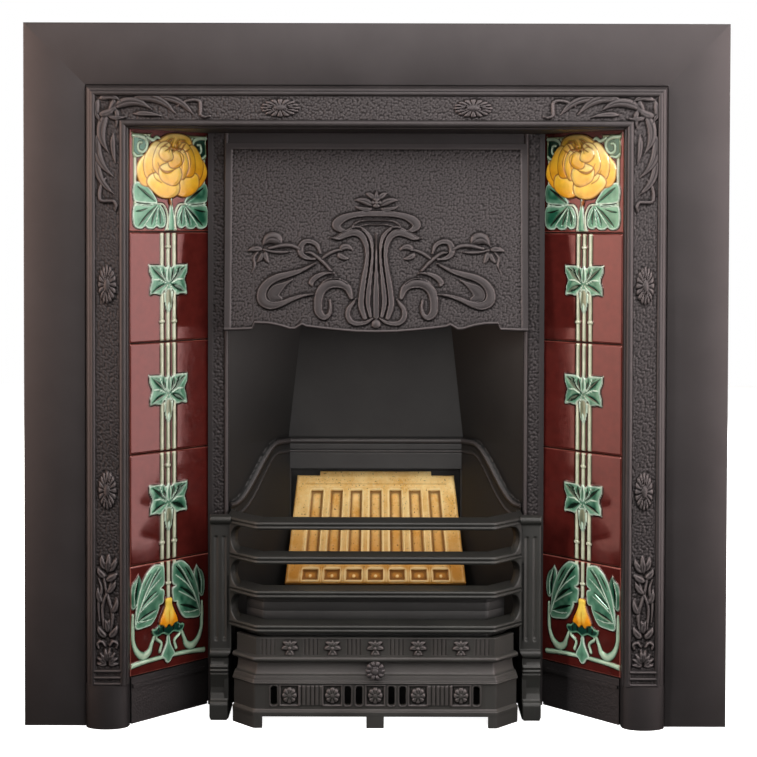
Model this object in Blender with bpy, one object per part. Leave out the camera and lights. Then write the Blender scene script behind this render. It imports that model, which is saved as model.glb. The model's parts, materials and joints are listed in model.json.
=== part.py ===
"""A cast-iron fireplace insert with tiled cheeks, a hood, a barred grate and an ash cover.

X runs to the right, Y into the wall and Z up. Drawing sizes are in millimetres: a point is written as
across, depth behind the front plate's face, and height, and it is turned into metres as a mesh is made.
"""

import math

import bmesh
import bpy
from mathutils import Vector

MM = 0.001

# Outer plate, a 38 inch square
PLATE_WIDTH = 965.2
PLATE_THICKNESS = 8.0
RIM_DEPTH = 18.0
BAND_WIDTH = 144.6
OPENING_HALF = PLATE_WIDTH / 2 - BAND_WIDTH
OPENING_TOP = PLATE_WIDTH - BAND_WIDTH

# Moulded frame round the opening: offsets outward from the opening's edge, and depths
MOULDING_WIDTH = 60.0
RELIEF_GROUND = -12.4
RELIEF_CENTRE = 28.0
LIP_BACK = 2.6
HEADER_BACK = 105.0
PLINTH_HEIGHT = 60.0
PLINTH_BULGE = 18.0

# Splayed cheeks: the face of the tiles in plan, from its outer to its inner edge
CHEEK_OUTER = Vector((337.0, 6.4))
CHEEK_INNER = Vector((243.0, 99.2))
CHEEK_RUN = (CHEEK_INNER - CHEEK_OUTER).length
CHEEK_ALONG = (CHEEK_INNER - CHEEK_OUTER).normalized()
CHEEK_BEHIND = Vector((CHEEK_ALONG.y, -CHEEK_ALONG.x))
TILE_SIZE = 152.4
TILE_THICKNESS = 9.0
TILE_PITCH = 153.67
TILE_COUNT = 5
TILE_BOTTOM = 65.0
TILE_START = -1.5
STRIP_INNER = 211.5
STRIP_OUTER = 240.5
STRIP_FRONT = 97.0
STRIP_THICKNESS = 5.0
WEB_OUTER = 226.5
WEB_INNER = 220.0

# Hood
HOOD_HALF = 213.0
HOOD_TOP = 798.0
HOOD_BOTTOM = 541.0
HOOD_TOP_DEPTH = 76.0
HOOD_BOTTOM_DEPTH = 52.0
HOOD_THICKNESS = 5.0
HOOD_BORDER = 9.0

# Fire chamber
CHAMBER_TOP = 815.0
CHAMBER_WALL = 5.0
BACK_HALF = 131.0
BACK_DEPTH = 204.0
BACK_GAP = 0.4
BACK_LAP = 6.0
CORNICE_TOP = 371.0
BACK_OPENING_HALF = 127.5
BACK_OPENING_TOP = 325.0
BACK_OPENING_BOTTOM = 158.0
POCKET_END = 242.0

# Grate, bars and ash cover
BAR_PATH = ((-204.0, 31.0), (-163.0, -10.0), (163.0, -10.0), (204.0, 31.0))
BAR_BOTTOMS = (130.5, 177.8, 225.0, 272.3)
BAR_DEPTH = 21.0
COVER_PATH = ((-198.5, 21.5), (-167.0, -10.0), (167.0, -10.0), (198.5, 21.5))
PILLAR_INNER = 201.0
PILLAR_OUTER = 231.0
PILLAR_FRONT = 29.0
FOOT_HEIGHT = 16.0
STRIP_SET = 8.0
BAND_SET = 3.2
KNOB_HEIGHT = 80.5
KNOB_RADIUS = 13.3
KNOB_FRONT = -20.0

# Castings whose small leaves cross one another, where the exact solver leaves open edges
CROWDED_RELIEF = ("front_plate", "ashpan_cover")

# The origin stands under the middle of the whole box
DEPTH_MIDDLE = (KNOB_FRONT + POCKET_END) / 2


def clear_scene():
    for obj in list(bpy.data.objects):
        bpy.data.objects.remove(obj, do_unlink=True)


def new_collection(name):
    collection = bpy.data.collections.new(name)
    bpy.context.scene.collection.children.link(collection)
    return collection


clear_scene()
PARTS = new_collection("tiled_fireplace_insert")
HELPERS = new_collection("shapes_added_and_cut")
HELPERS.hide_render = True


def finish(name, colour, roughness, metallic):
    material = bpy.data.materials.new(name)
    material.use_nodes = True
    shader = material.node_tree.nodes["Principled BSDF"]
    shader.inputs["Base Color"].default_value = (*colour, 1.0)
    shader.inputs["Roughness"].default_value = roughness
    shader.inputs["Metallic"].default_value = metallic
    return material


IRON = finish("black_cast_iron", (0.045, 0.040, 0.040), 0.55, 0.6)
GLAZE = finish("oxblood_glazed_tile", (0.105, 0.012, 0.010), 0.12, 0.0)
FIRECLAY = finish("buff_fireclay", (0.62, 0.40, 0.17), 0.85, 0.0)


def point(across, depth, height):
    return Vector((across, depth - DEPTH_MIDDLE, height)) * MM


def loft(bm, rings, closed=False):
    """Joins rings of equal length into one skin; an open run of rings is capped at both ends."""
    rows = [[bm.verts.new(p) for p in ring] for ring in rings]
    count = len(rows[0])
    pairs = list(zip(rows, rows[1:]))
    if closed:
        pairs.append((rows[-1], rows[0]))
    for first, second in pairs:
        for i in range(count):
            j = (i + 1) % count
            bm.faces.new((first[i], first[j], second[j], second[i]))
    if not closed:
        bm.faces.new(rows[0])
        bm.faces.new(rows[-1])


def make_object(name, bm, collection, material=None):
    bmesh.ops.recalc_face_normals(bm, faces=bm.faces)
    mesh = bpy.data.meshes.new(name)
    bm.to_mesh(mesh)
    bm.free()
    obj = bpy.data.objects.new(name, mesh)
    collection.objects.link(obj)
    if material:
        mesh.materials.append(material)
    return obj


def node(name, rings, material=IRON):
    bm = bmesh.new()
    loft(bm, rings)
    return make_object(name, bm, PARTS, material)


def helper(node_object, rings, operation):
    """Adds a lofted shape to a node, or cuts it away."""
    bm = bmesh.new()
    loft(bm, rings)
    return helper_mesh(node_object, bm, operation)


def helper_mesh(node_object, bm, operation):
    shape = make_object(node_object.name + "_shape", bm, HELPERS)
    shape.hide_render = True
    shape.display_type = "WIRE"
    modifier = node_object.modifiers.new(shape.name, "BOOLEAN")
    modifier.operation = operation
    modifier.object = shape
    modifier.solver = "MANIFOLD" if node_object.name in CROWDED_RELIEF else "EXACT"
    return shape


def add(node_object, rings):
    return helper(node_object, rings, "UNION")


def cut(node_object, rings):
    return helper(node_object, rings, "DIFFERENCE")


def column(outline, low, high):
    """Two rings of a plan outline, at two heights."""
    return [[point(x, d, z) for x, d in outline] for z in (low, high)]


def block(x0, x1, d0, d1, z0, z1):
    return column(((x0, d0), (x1, d0), (x1, d1), (x0, d1)), z0, z1)


def crosswise(outline, x0, x1):
    """Two rings of a side outline of depths and heights, at two places across."""
    return [[point(x, d, z) for d, z in outline] for x in (x0, x1)]


def on_face(place, outline, low, high):
    """Two rings of an outline that lies on a face, at two heights above the face."""
    return [[place(u, v, h) for u, v in outline] for h in (low, high)]


def arc(centre, radius, start, end, steps):
    """Points of an arc, from one angle in degrees to another; radius may be a pair for an ellipse."""
    across, along = radius if isinstance(radius, tuple) else (radius, radius)
    angles = [math.radians(start + (end - start) * i / steps) for i in range(steps + 1)]
    return [(centre[0] + across * math.cos(a), centre[1] + along * math.sin(a)) for a in angles]


def mirrored(outline, side):
    return [(side * x, other) for x, other in outline]


def smooth_path(points, steps):
    """Catmull-Rom curve through the points, each of them a place and a half width."""
    ends = [points[0], *points, points[-1]]
    path = []
    for i in range(len(points) - 1):
        a, b, c, d = ends[i : i + 4]
        for k in range(steps):
            t = k / steps
            path.append(tuple(
                0.5 * (2 * q + (r - p) * t + (2 * p - 5 * q + 4 * r - s) * t**2 + (3 * q - p - 3 * r + s) * t**3)
                for p, q, r, s in zip(a, b, c, d)
            ))
    path.append(tuple(points[-1]))
    return path


def ribbon(place, points, height, steps=2, flat=0.5, sink=1.5):
    """Rings of a raised band along a smooth path; flat is the share of its width that is level on top."""
    path = smooth_path(points, steps)
    rings = []
    for i, (u, v, half) in enumerate(path):
        before = path[max(i - 1, 0)]
        after = path[min(i + 1, len(path) - 1)]
        run = Vector((after[0] - before[0], after[1] - before[1])).normalized()
        across = Vector((-run.y, run.x)) * max(half, 0.5)
        here = Vector((u, v))
        level = [here] if flat == 0 else [here + across * flat, here - across * flat]
        low = [here + across, here - across]
        top = [place(p.x, p.y, height) for p in level]
        rings.append([place(low[0].x, low[0].y, -sink), *top, place(low[1].x, low[1].y, -sink)])
    return rings


def leaf(place, root, tip, half, height, bend=0.0):
    """A pointed leaf with a ridge down its middle, bent sideways by a share of its length."""
    root = Vector(root)
    run = Vector(tip) - root
    side = Vector((-run.y, run.x)) * bend
    widths = (0.2, 1.0, 0.78, 0.06)
    points = []
    for i, width in enumerate(widths):
        t = i / (len(widths) - 1)
        spot = root + run * t + side * (4 * t * (1 - t))
        points.append((spot.x, spot.y, width * half))
    return ribbon(place, points, height, steps=1, flat=0)


def petalled(place, centre, radii, petals, height, notch=0.78, sink=1.5):
    """Rings of a flower disc whose edge swings between petals and notches."""
    rings = []
    for share, level in ((1.0, -sink), (0.72, height)):
        ring = []
        for i in range(petals * 2):
            reach = share * (1.0 if i % 2 == 0 else notch)
            turn = math.pi * i / petals
            ring.append(place(centre[0] + radii[0] * reach * math.cos(turn),
                              centre[1] + radii[1] * reach * math.sin(turn), level))
        rings.append(ring)
    return rings


def boss(place, centre, radii, height, sides=8, sink=1.5):
    """Rings of a low dome."""
    rings = []
    for share, level in ((1.0, -sink), (0.6, height)):
        turns = [2 * math.pi * i / sides for i in range(sides)]
        rings.append([place(centre[0] + radii[0] * share * math.cos(t),
                            centre[1] + radii[1] * share * math.sin(t), level) for t in turns])
    return rings


# Front plate


def frame_profile():
    """The section of the outer plate and moulding: outward from the opening's edge, and depth."""
    outer_ovolo = [(58.4, -1.0), (57.2, -5.6), (54.6, -9.2), (51.7, -10.8)]
    outer_bead = arc((47.7, -12.8), (4.0, 3.4), 0, -180, 4)
    inner_bead = arc((7.0, -12.0), (5.0, 4.2), 0, -180, 4)
    front = [(BAND_WIDTH, RIM_DEPTH), (BAND_WIDTH, 1.2), (BAND_WIDTH - 1.2, 0.0), (MOULDING_WIDTH + 0.6, 0.0)]
    front += [(MOULDING_WIDTH - 0.4, 2.0), *outer_ovolo, *outer_bead]
    front += [(43.7, RELIEF_GROUND), (12.0, RELIEF_GROUND), *inner_bead, (0.0, -9.6)]
    back = [(0.0, LIP_BACK), (5.0, LIP_BACK), (5.0, -6.0), (48.0, -6.0), (56.0, PLATE_THICKNESS)]
    rim_inner = BAND_WIDTH - PLATE_THICKNESS
    back += [(rim_inner, PLATE_THICKNESS), (rim_inner, RIM_DEPTH)]
    return front + back


def frame_face(u, v, h):
    return point(u, RELIEF_GROUND - h, v)


def frame_stations():
    """The profile at the foot of each side and at the two mitred corners."""
    profile = frame_profile()
    rings = [[point(-(OPENING_HALF + r), d, 0.0) for r, d in profile]]
    rings.append([point(-(OPENING_HALF + r), d, OPENING_TOP + r) for r, d in profile])
    rings.append([point(OPENING_HALF + r, d, OPENING_TOP + r) for r, d in profile])
    rings.append([point(OPENING_HALF + r, d, 0.0) for r, d in profile])
    return rings


def spray(along, length):
    """A flowering spray in band coordinates (distance along, offset from the middle): stems and leaves."""
    swing = 8.0
    stem = []
    for i in range(7):
        t = i / 6
        stem.append((along + length * t, swing * math.sin(2.1 * math.pi * t) * (1 - 0.4 * t), 3.2 - 1.6 * t))
    leaves = []
    for i in range(5):
        t = (i + 0.6) / 5.4
        side = 1 if i % 2 else -1
        root = (along + length * t, swing * math.sin(2.1 * math.pi * t) * (1 - 0.4 * t))
        tip = (root[0] + 17.0, root[1] + side * 11.0 * (1 if abs(root[1]) < 5 else -0.2))
        leaves.append((root, tip, 4.2))
    return stem, leaves


def add_spray(plate, place, along, length):
    stem, leaves = spray(along, length)
    add(plate, ribbon(place, stem, 3.0, steps=1, flat=0))
    for root, tip, half in leaves:
        add(plate, leaf(place, root, tip, half, 3.6, bend=0.12))
    end = along + length + 3.0
    add(plate, ribbon(place, [(end, -9.0, 1.6), (end + 2.5, 0.0, 2.6), (end, 9.0, 1.6)], 3.0, steps=1, flat=0))


def build_front_plate():
    plate = node("front_plate", frame_stations())
    right = [(339.0, -5.0), (339.0, LIP_BACK), (241.4, CHEEK_INNER.y), (235.5, HEADER_BACK)]
    header = right + [(-x, d) for x, d in reversed(right)]
    add(plate, column(header, OPENING_TOP, OPENING_TOP + 6.0))
    half = STRIP_INNER - 0.6
    add(plate, block(-half, half, STRIP_FRONT, STRIP_FRONT + 5.0, HOOD_TOP + 0.4, OPENING_TOP + 3.0))
    middle = OPENING_HALF + MOULDING_WIDTH / 2
    for side in (-1, 1):
        bulge = arc((middle, -2.0), (MOULDING_WIDTH / 2 - 0.6, PLINTH_BULGE - 2.0), 0, -180, 10)
        plinth = [(middle + 29.4, 2.0), *bulge, (middle - 29.4, 2.0)]
        add(plate, column(mirrored(plinth, side), 0.0, PLINTH_HEIGHT))
        for rib in (61.5, 70.0, 79.0):
            inner = side * (OPENING_HALF + 10.0)
            outer = side * (OPENING_HALF + 46.0)
            outline = [(-8.0, rib - 3.0), (-15.0, rib - 2.6), (-16.8, rib), (-15.0, rib + 2.6), (-8.0, rib + 3.0)]
            add(plate, crosswise(outline, min(inner, outer), max(inner, outer)))
        column_middle = side * (OPENING_HALF + RELIEF_CENTRE)
        for height in (327.0, 608.0):
            add_sunflower(plate, (column_middle, height), (12.0, 27.0))
        add_sunflower(plate, (side * 131.0, OPENING_TOP + RELIEF_CENTRE), (27.0, 12.0))

        def down(s, t, h, x=column_middle, way=side):
            return frame_face(x + way * t, OPENING_TOP + RELIEF_CENTRE - s, h)

        def inward(s, t, h, x=column_middle, way=side):
            return frame_face(x - way * s, OPENING_TOP + RELIEF_CENTRE + t, h)

        def upward(s, t, h, x=column_middle, way=side):
            return frame_face(x + way * t, s, h)

        add_spray(plate, down, 12.0, 118.0)
        add_spray(plate, inward, 12.0, 130.0)
        add_spray(plate, upward, 128.0, 96.0)
        add(plate, boss(frame_face, (column_middle, 848.0), (11.0, 11.0), 4.0))
        add(plate, petalled(frame_face, (column_middle, 112.0), (13.0, 15.0), 8, 4.0))
    return plate


def add_sunflower(plate, centre, radii):
    add(plate, petalled(frame_face, centre, radii, 10, 4.0))
    add(plate, boss(frame_face, centre, (radii[0] * 0.46, radii[1] * 0.4), 5.4, sides=6))


# Tiled cheeks


def cheek(along, behind):
    """A plan point of the right cheek, from the run along the tiles' face and the depth behind it."""
    spot = CHEEK_OUTER + CHEEK_ALONG * along + CHEEK_BEHIND * behind
    return (spot.x, spot.y)


def build_tile_slide(name, side):
    behind_tile = TILE_THICKNESS + 0.6
    behind_wall = behind_tile + 6.0
    tile_end = TILE_START + TILE_SIZE
    backing = [cheek(TILE_START, behind_tile), (346.5, 8.6), (400.0, 8.6), (400.0, 14.6), (352.0, 14.6)]
    backing += [cheek(tile_end + 5.0, behind_wall), cheek(tile_end + 5.0, behind_tile)]
    slide = node(name, column(mirrored(backing, side), 0.0, 835.0))
    strip_back = STRIP_FRONT + STRIP_THICKNESS
    strip = [(STRIP_INNER, STRIP_FRONT), (STRIP_OUTER, STRIP_FRONT), (STRIP_OUTER, strip_back - 1.2)]
    strip += [(WEB_OUTER, strip_back - 0.8), (WEB_OUTER, strip_back + 11.5), cheek(tile_end + 1.5, TILE_THICKNESS - 0.8)]
    strip += [cheek(tile_end + 3.1, behind_tile + 2.4), cheek(tile_end + 4.1, behind_tile + 4.4)]
    strip += [(WEB_INNER, strip_back + 16.0), (WEB_INNER, strip_back), (STRIP_INNER, strip_back)]
    add(slide, column(mirrored(strip, side), 0.0, OPENING_TOP - 0.8))
    panel = [cheek(0.8, 0.0), cheek(CHEEK_RUN + 1.5, 0.0), cheek(CHEEK_RUN + 1.5, 12.0), cheek(0.8, 12.0)]
    add(slide, column(mirrored(panel, side), 0.0, TILE_BOTTOM - 0.6))
    fillet = [cheek(2.0, -3.0), cheek(CHEEK_RUN - 4.0, -3.0), cheek(CHEEK_RUN - 4.0, 2.0), cheek(2.0, 2.0)]
    add(slide, column(mirrored(fillet, side), 50.0, 55.0))
    return slide


def build_tile(name, side, level):
    """One tile, with its front edges eased."""
    bottom = TILE_BOTTOM + level * TILE_PITCH + (TILE_PITCH - TILE_SIZE) / 2
    ease = 1.2
    rings = []
    for behind, inset in ((TILE_THICKNESS, 0.0), (ease, 0.0), (ease * 0.3, ease * 0.3), (0.0, ease)):
        start = TILE_START + inset
        stop = TILE_START + TILE_SIZE - inset
        low = bottom + inset
        high = bottom + TILE_SIZE - inset
        corners = ((start, low), (stop, low), (stop, high), (start, high))
        ring = []
        for along, height in corners:
            x, d = cheek(along, behind)
            ring.append(point(side * x, d, height))
        rings.append(ring)
    return node(name, rings, GLAZE)


# Hood


def hood_face(u, v, h):
    """A point of the hood's leaning face, raised by h towards the front."""
    slope = (HOOD_TOP_DEPTH - HOOD_BOTTOM_DEPTH) / (HOOD_TOP - HOOD_BOTTOM)
    return point(u, HOOD_TOP_DEPTH - (HOOD_TOP - v) * slope - h, v)


def hood_edge():
    """The scalloped bottom edge of the right half, from the middle outwards."""
    return [(0.0, 538.6), (28.0, 539.2), (56.0, 541.5), (80.0, 544.0), (98.0, 546.2), (104.0, 549.0),
            (109.0, 546.0), (114.0, 542.8), (121.0, 543.0), (136.0, 547.4), (152.0, 550.4), (171.0, 550.8),
            (174.0, 542.5), (HOOD_HALF, HOOD_BOTTOM)]


# Relief of the hood's right half: each line is (across, height, half width)
TULIP_EDGE = ((16.0, 561.5, 1.0), (25.0, 570.0, 2.6), (27.5, 585.0, 3.0), (21.0, 610.0, 2.8), (13.5, 636.0, 2.4),
              (12.0, 658.0, 2.4), (20.0, 674.0, 2.6), (34.0, 678.0, 2.8), (50.0, 669.0, 2.2), (67.0, 672.0, 0.8))
CROWN_RIBBON = ((5.0, 706.0, 2.5), (26.0, 706.5, 4.5), (46.0, 702.0, 6.0), (57.0, 691.0, 5.5), (50.0, 682.0, 3.2),
                (38.0, 684.0, 1.2))
LONG_LOOP = ((84.0, 636.0, 2.2), (102.0, 625.5, 4.2), (126.0, 620.0, 5.4), (148.0, 610.0, 7.0), (159.0, 593.0, 6.6),
             (150.0, 578.0, 5.4), (131.0, 580.0, 4.0), (110.0, 588.5, 3.0), (84.0, 594.0, 1.6))
KNOT_LOOP = ((64.0, 628.0, 3.4), (80.0, 641.0, 3.6), (96.0, 652.0, 3.4))
KNOT_RING = ((80.0, 650.0, 2.0), (82.0, 662.0, 3.2), (94.0, 667.0, 3.6), (104.0, 659.0, 3.6), (101.0, 645.0, 3.2),
             (90.0, 639.5, 2.2))
COIL_OUTER = ((30.0, 587.0, 2.4), (36.0, 603.0, 3.4), (54.0, 613.5, 3.8), (72.0, 609.0, 4.0), (82.0, 594.0, 4.2),
              (84.0, 575.0, 4.2), (76.0, 560.0, 3.6), (65.0, 565.0, 2.4), (64.0, 580.0, 1.4))
COIL_TAIL = ((58.0, 623.0, 2.0), (74.0, 622.5, 3.4), (87.0, 614.0, 3.8), (86.0, 605.0, 2.0))
COIL_INNER = ((40.0, 592.0, 1.6), (52.0, 599.0, 3.0), (66.0, 595.0, 2.6), (73.0, 586.0, 1.2))
FOOT_SCROLL = ((6.0, 556.0, 2.0), (22.0, 550.5, 3.0), (36.0, 556.0, 3.4), (38.0, 571.0, 3.0), (31.0, 583.0, 1.8))
FLOWER_STEM = ((107.0, 656.0, 2.6), (119.0, 663.0, 3.0), (133.0, 664.0, 2.0))
SMALL_STEM = ((72.0, 644.0, 1.4), (58.0, 652.0, 2.4), (46.0, 655.0, 1.6))


def hood_leaves():
    """Root, tip, half width and bend of each leaf and petal of the right half."""
    return (((8.0, 716.0), (30.0, 727.0), 5.0, 0.1), ((4.0, 712.0), (26.0, 717.0), 3.6, -0.1),
            ((133.0, 663.0), (158.0, 661.0), 7.5, 0.32), ((148.0, 655.0), (119.0, 650.0), 5.0, 0.1),
            ((158.0, 656.0), (180.0, 655.0), 4.2, -0.2), ((156.0, 654.0), (148.0, 637.0), 3.2, 0.1),
            ((159.0, 654.0), (170.0, 633.0), 3.2, -0.1), ((50.0, 654.0), (34.0, 663.0), 4.0, 0.2),
            ((48.0, 653.0), (31.0, 652.0), 3.4, 0.0), ((50.0, 651.0), (42.0, 640.0), 4.0, -0.2))


def add_hood_relief(hood):
    add(hood, leaf(hood_face, (0.0, 564.0), (0.0, 672.0), 8.5, 4.6))
    add(hood, boss(hood_face, (0.0, 551.5), (6.5, 6.5), 5.0))
    add(hood, petalled(hood_face, (0.0, 722.0), (9.0, 10.0), 5, 5.0))
    for side in (-1, 1):
        def place(u, v, h, way=side):
            return hood_face(way * u, v, h)

        add(hood, leaf(place, (11.0, 566.0), (8.0, 668.0), 7.0, 4.0, bend=-0.045))
        for line, height, steps in ((TULIP_EDGE, 4.4, 1), (CROWN_RIBBON, 4.2, 2), (LONG_LOOP, 4.6, 2),
                                    (KNOT_RING, 3.8, 2), (KNOT_LOOP, 4.6, 1), (COIL_OUTER, 4.6, 2),
                                    (COIL_TAIL, 4.0, 1), (COIL_INNER, 3.6, 1), (FOOT_SCROLL, 4.2, 1),
                                    (FLOWER_STEM, 3.6, 1), (SMALL_STEM, 3.4, 1)):
            add(hood, ribbon(place, line, height, steps=steps, flat=0))
        for root, tip, half, bend in hood_leaves():
            add(hood, leaf(place, root, tip, half, 4.4, bend=bend))


def build_hood():
    edge = hood_edge()
    outline = [*edge, (HOOD_HALF, HOOD_TOP), (-HOOD_HALF, HOOD_TOP), *mirrored(edge[:0:-1], -1)]
    hood = node("hood", on_face(hood_face, outline, -HOOD_THICKNESS, 0.0))
    end = STRIP_FRONT - 0.6
    for side in (-1, 1):
        inner = side * (HOOD_HALF - HOOD_THICKNESS)
        outer = side * HOOD_HALF
        cheek_outline = [(HOOD_TOP_DEPTH, HOOD_TOP), (end, HOOD_TOP), (end, HOOD_BOTTOM), (HOOD_BOTTOM_DEPTH, HOOD_BOTTOM)]
        add(hood, crosswise(cheek_outline, min(inner, outer), max(inner, outer)))
        inner_edge = HOOD_HALF - HOOD_BORDER
        border = [(side * inner_edge, HOOD_BOTTOM + 10.0), (side * HOOD_HALF, HOOD_BOTTOM + 10.0)]
        border += [(side * HOOD_HALF, HOOD_TOP), (side * inner_edge, HOOD_TOP)]
        add(hood, on_face(hood_face, border, -1.0, 2.0))
    half = HOOD_HALF
    top = [(-half, HOOD_TOP - HOOD_BORDER), (half, HOOD_TOP - HOOD_BORDER), (half, HOOD_TOP), (-half, HOOD_TOP)]
    add(hood, on_face(hood_face, top, -1.0, 2.0))
    add(hood, block(-half, half, HOOD_TOP_DEPTH, end, HOOD_TOP - HOOD_THICKNESS, HOOD_TOP))
    add_hood_relief(hood)
    return hood


# Fire chamber


def back_corner(height):
    """The inner corner between side and back at a height; both walls draw in above the cornice."""
    rise = max(height - CORNICE_TOP, 0.0)
    return BACK_HALF - 0.115 * rise, BACK_DEPTH - 0.115 * rise


def build_firebox_side(name, side):
    front = Vector((STRIP_INNER + 0.5, STRIP_FRONT + STRIP_THICKNESS + 0.6))
    rings = []
    for height in (0.0, CORNICE_TOP, 450.0, 541.0, 640.0, 730.0, CHAMBER_TOP):
        rear = Vector(back_corner(height))
        run = (rear - front).normalized()
        out = Vector((run.y, -run.x)) * CHAMBER_WALL
        outline = [front, rear, rear + Vector((CHAMBER_WALL / run.y, 0.0)), front + out]
        rings.append([point(side * p.x, p.y, height) for p in outline])
    plate = node(name, rings)
    rear = Vector(back_corner(0.0))
    run = (rear - front).normalized()
    inward = Vector((-run.y, run.x))
    length = (rear - front).length

    def face(s, v, h):
        spot = front + run * s + inward * h
        return point(side * spot.x, spot.y, v)

    top = []
    steps = 12
    for i in range(steps + 1):
        t = i / steps
        sweep = min(max((t - 0.08) / 0.72, 0.0), 1.0)
        top.append((3.0 + (length - 12.0) * t, 288.0 + 77.0 * sweep**2 * (3 - 2 * sweep)))
    raised = [(3.0, 1.0), *top, (length - 9.0, 1.0)]
    add(plate, on_face(face, raised, -1.0, 5.0))
    bead = [(s, z - 3.0, 3.6) for s, z in top]
    add(plate, ribbon(face, bead[::2], 9.0, steps=2, sink=-3.0))
    second = [(s, z - 24.0, 2.0) for s, z in top]
    add(plate, ribbon(face, second[::2], 7.0, steps=2, sink=-3.0))
    return plate


def build_firebox_back():
    """The back plate laps the rear edges of both sides; a pocket behind it holds the leaning fireclay."""
    wall = CHAMBER_WALL
    face = BACK_DEPTH + BACK_GAP
    rings = []
    for height in (BACK_OPENING_TOP, CORNICE_TOP, 541.0, CHAMBER_TOP):
        half, depth = back_corner(height)
        half += BACK_LAP
        depth += BACK_GAP
        rings.append([point(x, d, height) for x, d in
                      ((-half, depth), (half, depth), (half, depth + wall), (-half, depth + wall))])
    back = node("firebox_back", rings)
    half = BACK_HALF + BACK_LAP
    outline = [(BACK_DEPTH + 2.0, 347.0), (BACK_DEPTH - 4.0, 349.0), (BACK_DEPTH - 7.0, 353.0), (BACK_DEPTH - 8.0, 358.0)]
    outline += [(BACK_DEPTH - 7.0, 363.0), (BACK_DEPTH - 3.0, 367.0), (BACK_DEPTH + 2.0, 369.0)]
    add(back, crosswise(outline, -119.0, 119.0))
    inner = BACK_OPENING_HALF
    for side in (-1, 1):
        jamb = sorted((side * inner, side * half))
        add(back, block(*jamb, face, face + wall, 0.0, BACK_OPENING_TOP + 3.0))
        pocket = sorted((side * (inner + 1.0), side * (inner + 1.0 + wall)))
        add(back, block(*pocket, face + wall - 1.4, POCKET_END, 100.0, BACK_OPENING_TOP + 3.0))
    closing = inner + 2.0
    add(back, block(-closing, closing, face, POCKET_END, BACK_OPENING_TOP, BACK_OPENING_TOP + wall))
    add(back, block(-half, half, face, face + wall, 0.0, BACK_OPENING_BOTTOM))
    add(back, block(-closing, closing, POCKET_END - 4.4, POCKET_END, 100.0, BACK_OPENING_TOP + 3.0))
    return back


FIRECLAY_FOOT = (160.0, 161.0)
FIRECLAY_HEAD = (220.0, 307.0)
FIRECLAY_HALVES = (134.0, 118.5)


def fireclay_face(u, v, h):
    """A point of the leaning panel: across as a share of its half width, up the slope from 0 to 1, and raised."""
    foot = Vector(FIRECLAY_FOOT)
    run = Vector(FIRECLAY_HEAD) - foot
    out = Vector((-run.y, run.x)).normalized()
    spot = foot + run * v + out * h
    half = FIRECLAY_HALVES[0] + (FIRECLAY_HALVES[1] - FIRECLAY_HALVES[0]) * v
    return point(u * half, spot.x, spot.y)


def build_fireclay():
    panel = node("fireclay_back", on_face(fireclay_face, ((-1, 0), (1, 0), (1, 1), (-1, 1)), -16.0, 0.0), FIRECLAY)
    add(panel, on_face(fireclay_face, ((-0.72, 0.97), (0.72, 0.97), (0.72, 1.04), (-0.72, 1.04)), -13.0, -0.5))
    pitch = 0.243
    for i in range(7):
        middle = (i - 3) * pitch
        for low, high, half in ((0.20, 0.86, 0.076), (0.03, 0.13, 0.086)):
            outline = ((middle - half, low), (middle + half, low), (middle + half, high), (middle - half, high))
            cut(panel, on_face(fireclay_face, outline, -5.0, 5.0))
    return panel


# Grate


def mitred(path, offset, ends):
    """The plan path moved inwards by an offset, keeping its corners mitred; ends is how its last points move."""
    points = [Vector(p) for p in path]
    normals = []
    for a, b in zip(points, points[1:]):
        run = (b - a).normalized()
        normals.append(Vector((-run.y, run.x)))
    moved = []
    for i, spot in enumerate(points):
        if 0 < i < len(points) - 1:
            first, second = normals[i - 1], normals[i]
            shift = (first + second) / (1 + first.dot(second))
        elif ends == "square":
            shift = normals[0] if i == 0 else normals[-1]
        else:
            edge = normals[0] if i == 0 else normals[-1]
            shift = Vector((0.0, 1.0 / edge.y))
        moved.append(spot + shift * offset)
    return moved


def swept(path, section, ends):
    """Rings of a section of offsets and heights, carried along a plan path."""
    runs = [(mitred(path, offset, ends), z) for offset, z in section]
    return [[point(run[i].x, run[i].y, z) for run, z in runs] for i in range(len(path))]


def bar_section(bottom):
    depth = BAR_DEPTH
    section = [(depth, 1.5), (depth - 1.5, 0.0), (1.5, 0.0), (0.0, 1.5), (0.0, 4.2), (1.8, 5.5), (0.0, 6.8)]
    section += [(0.0, 9.5), (1.5, 11.0), (depth, 15.0)]
    return [(offset, bottom + z) for offset, z in section]


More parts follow.
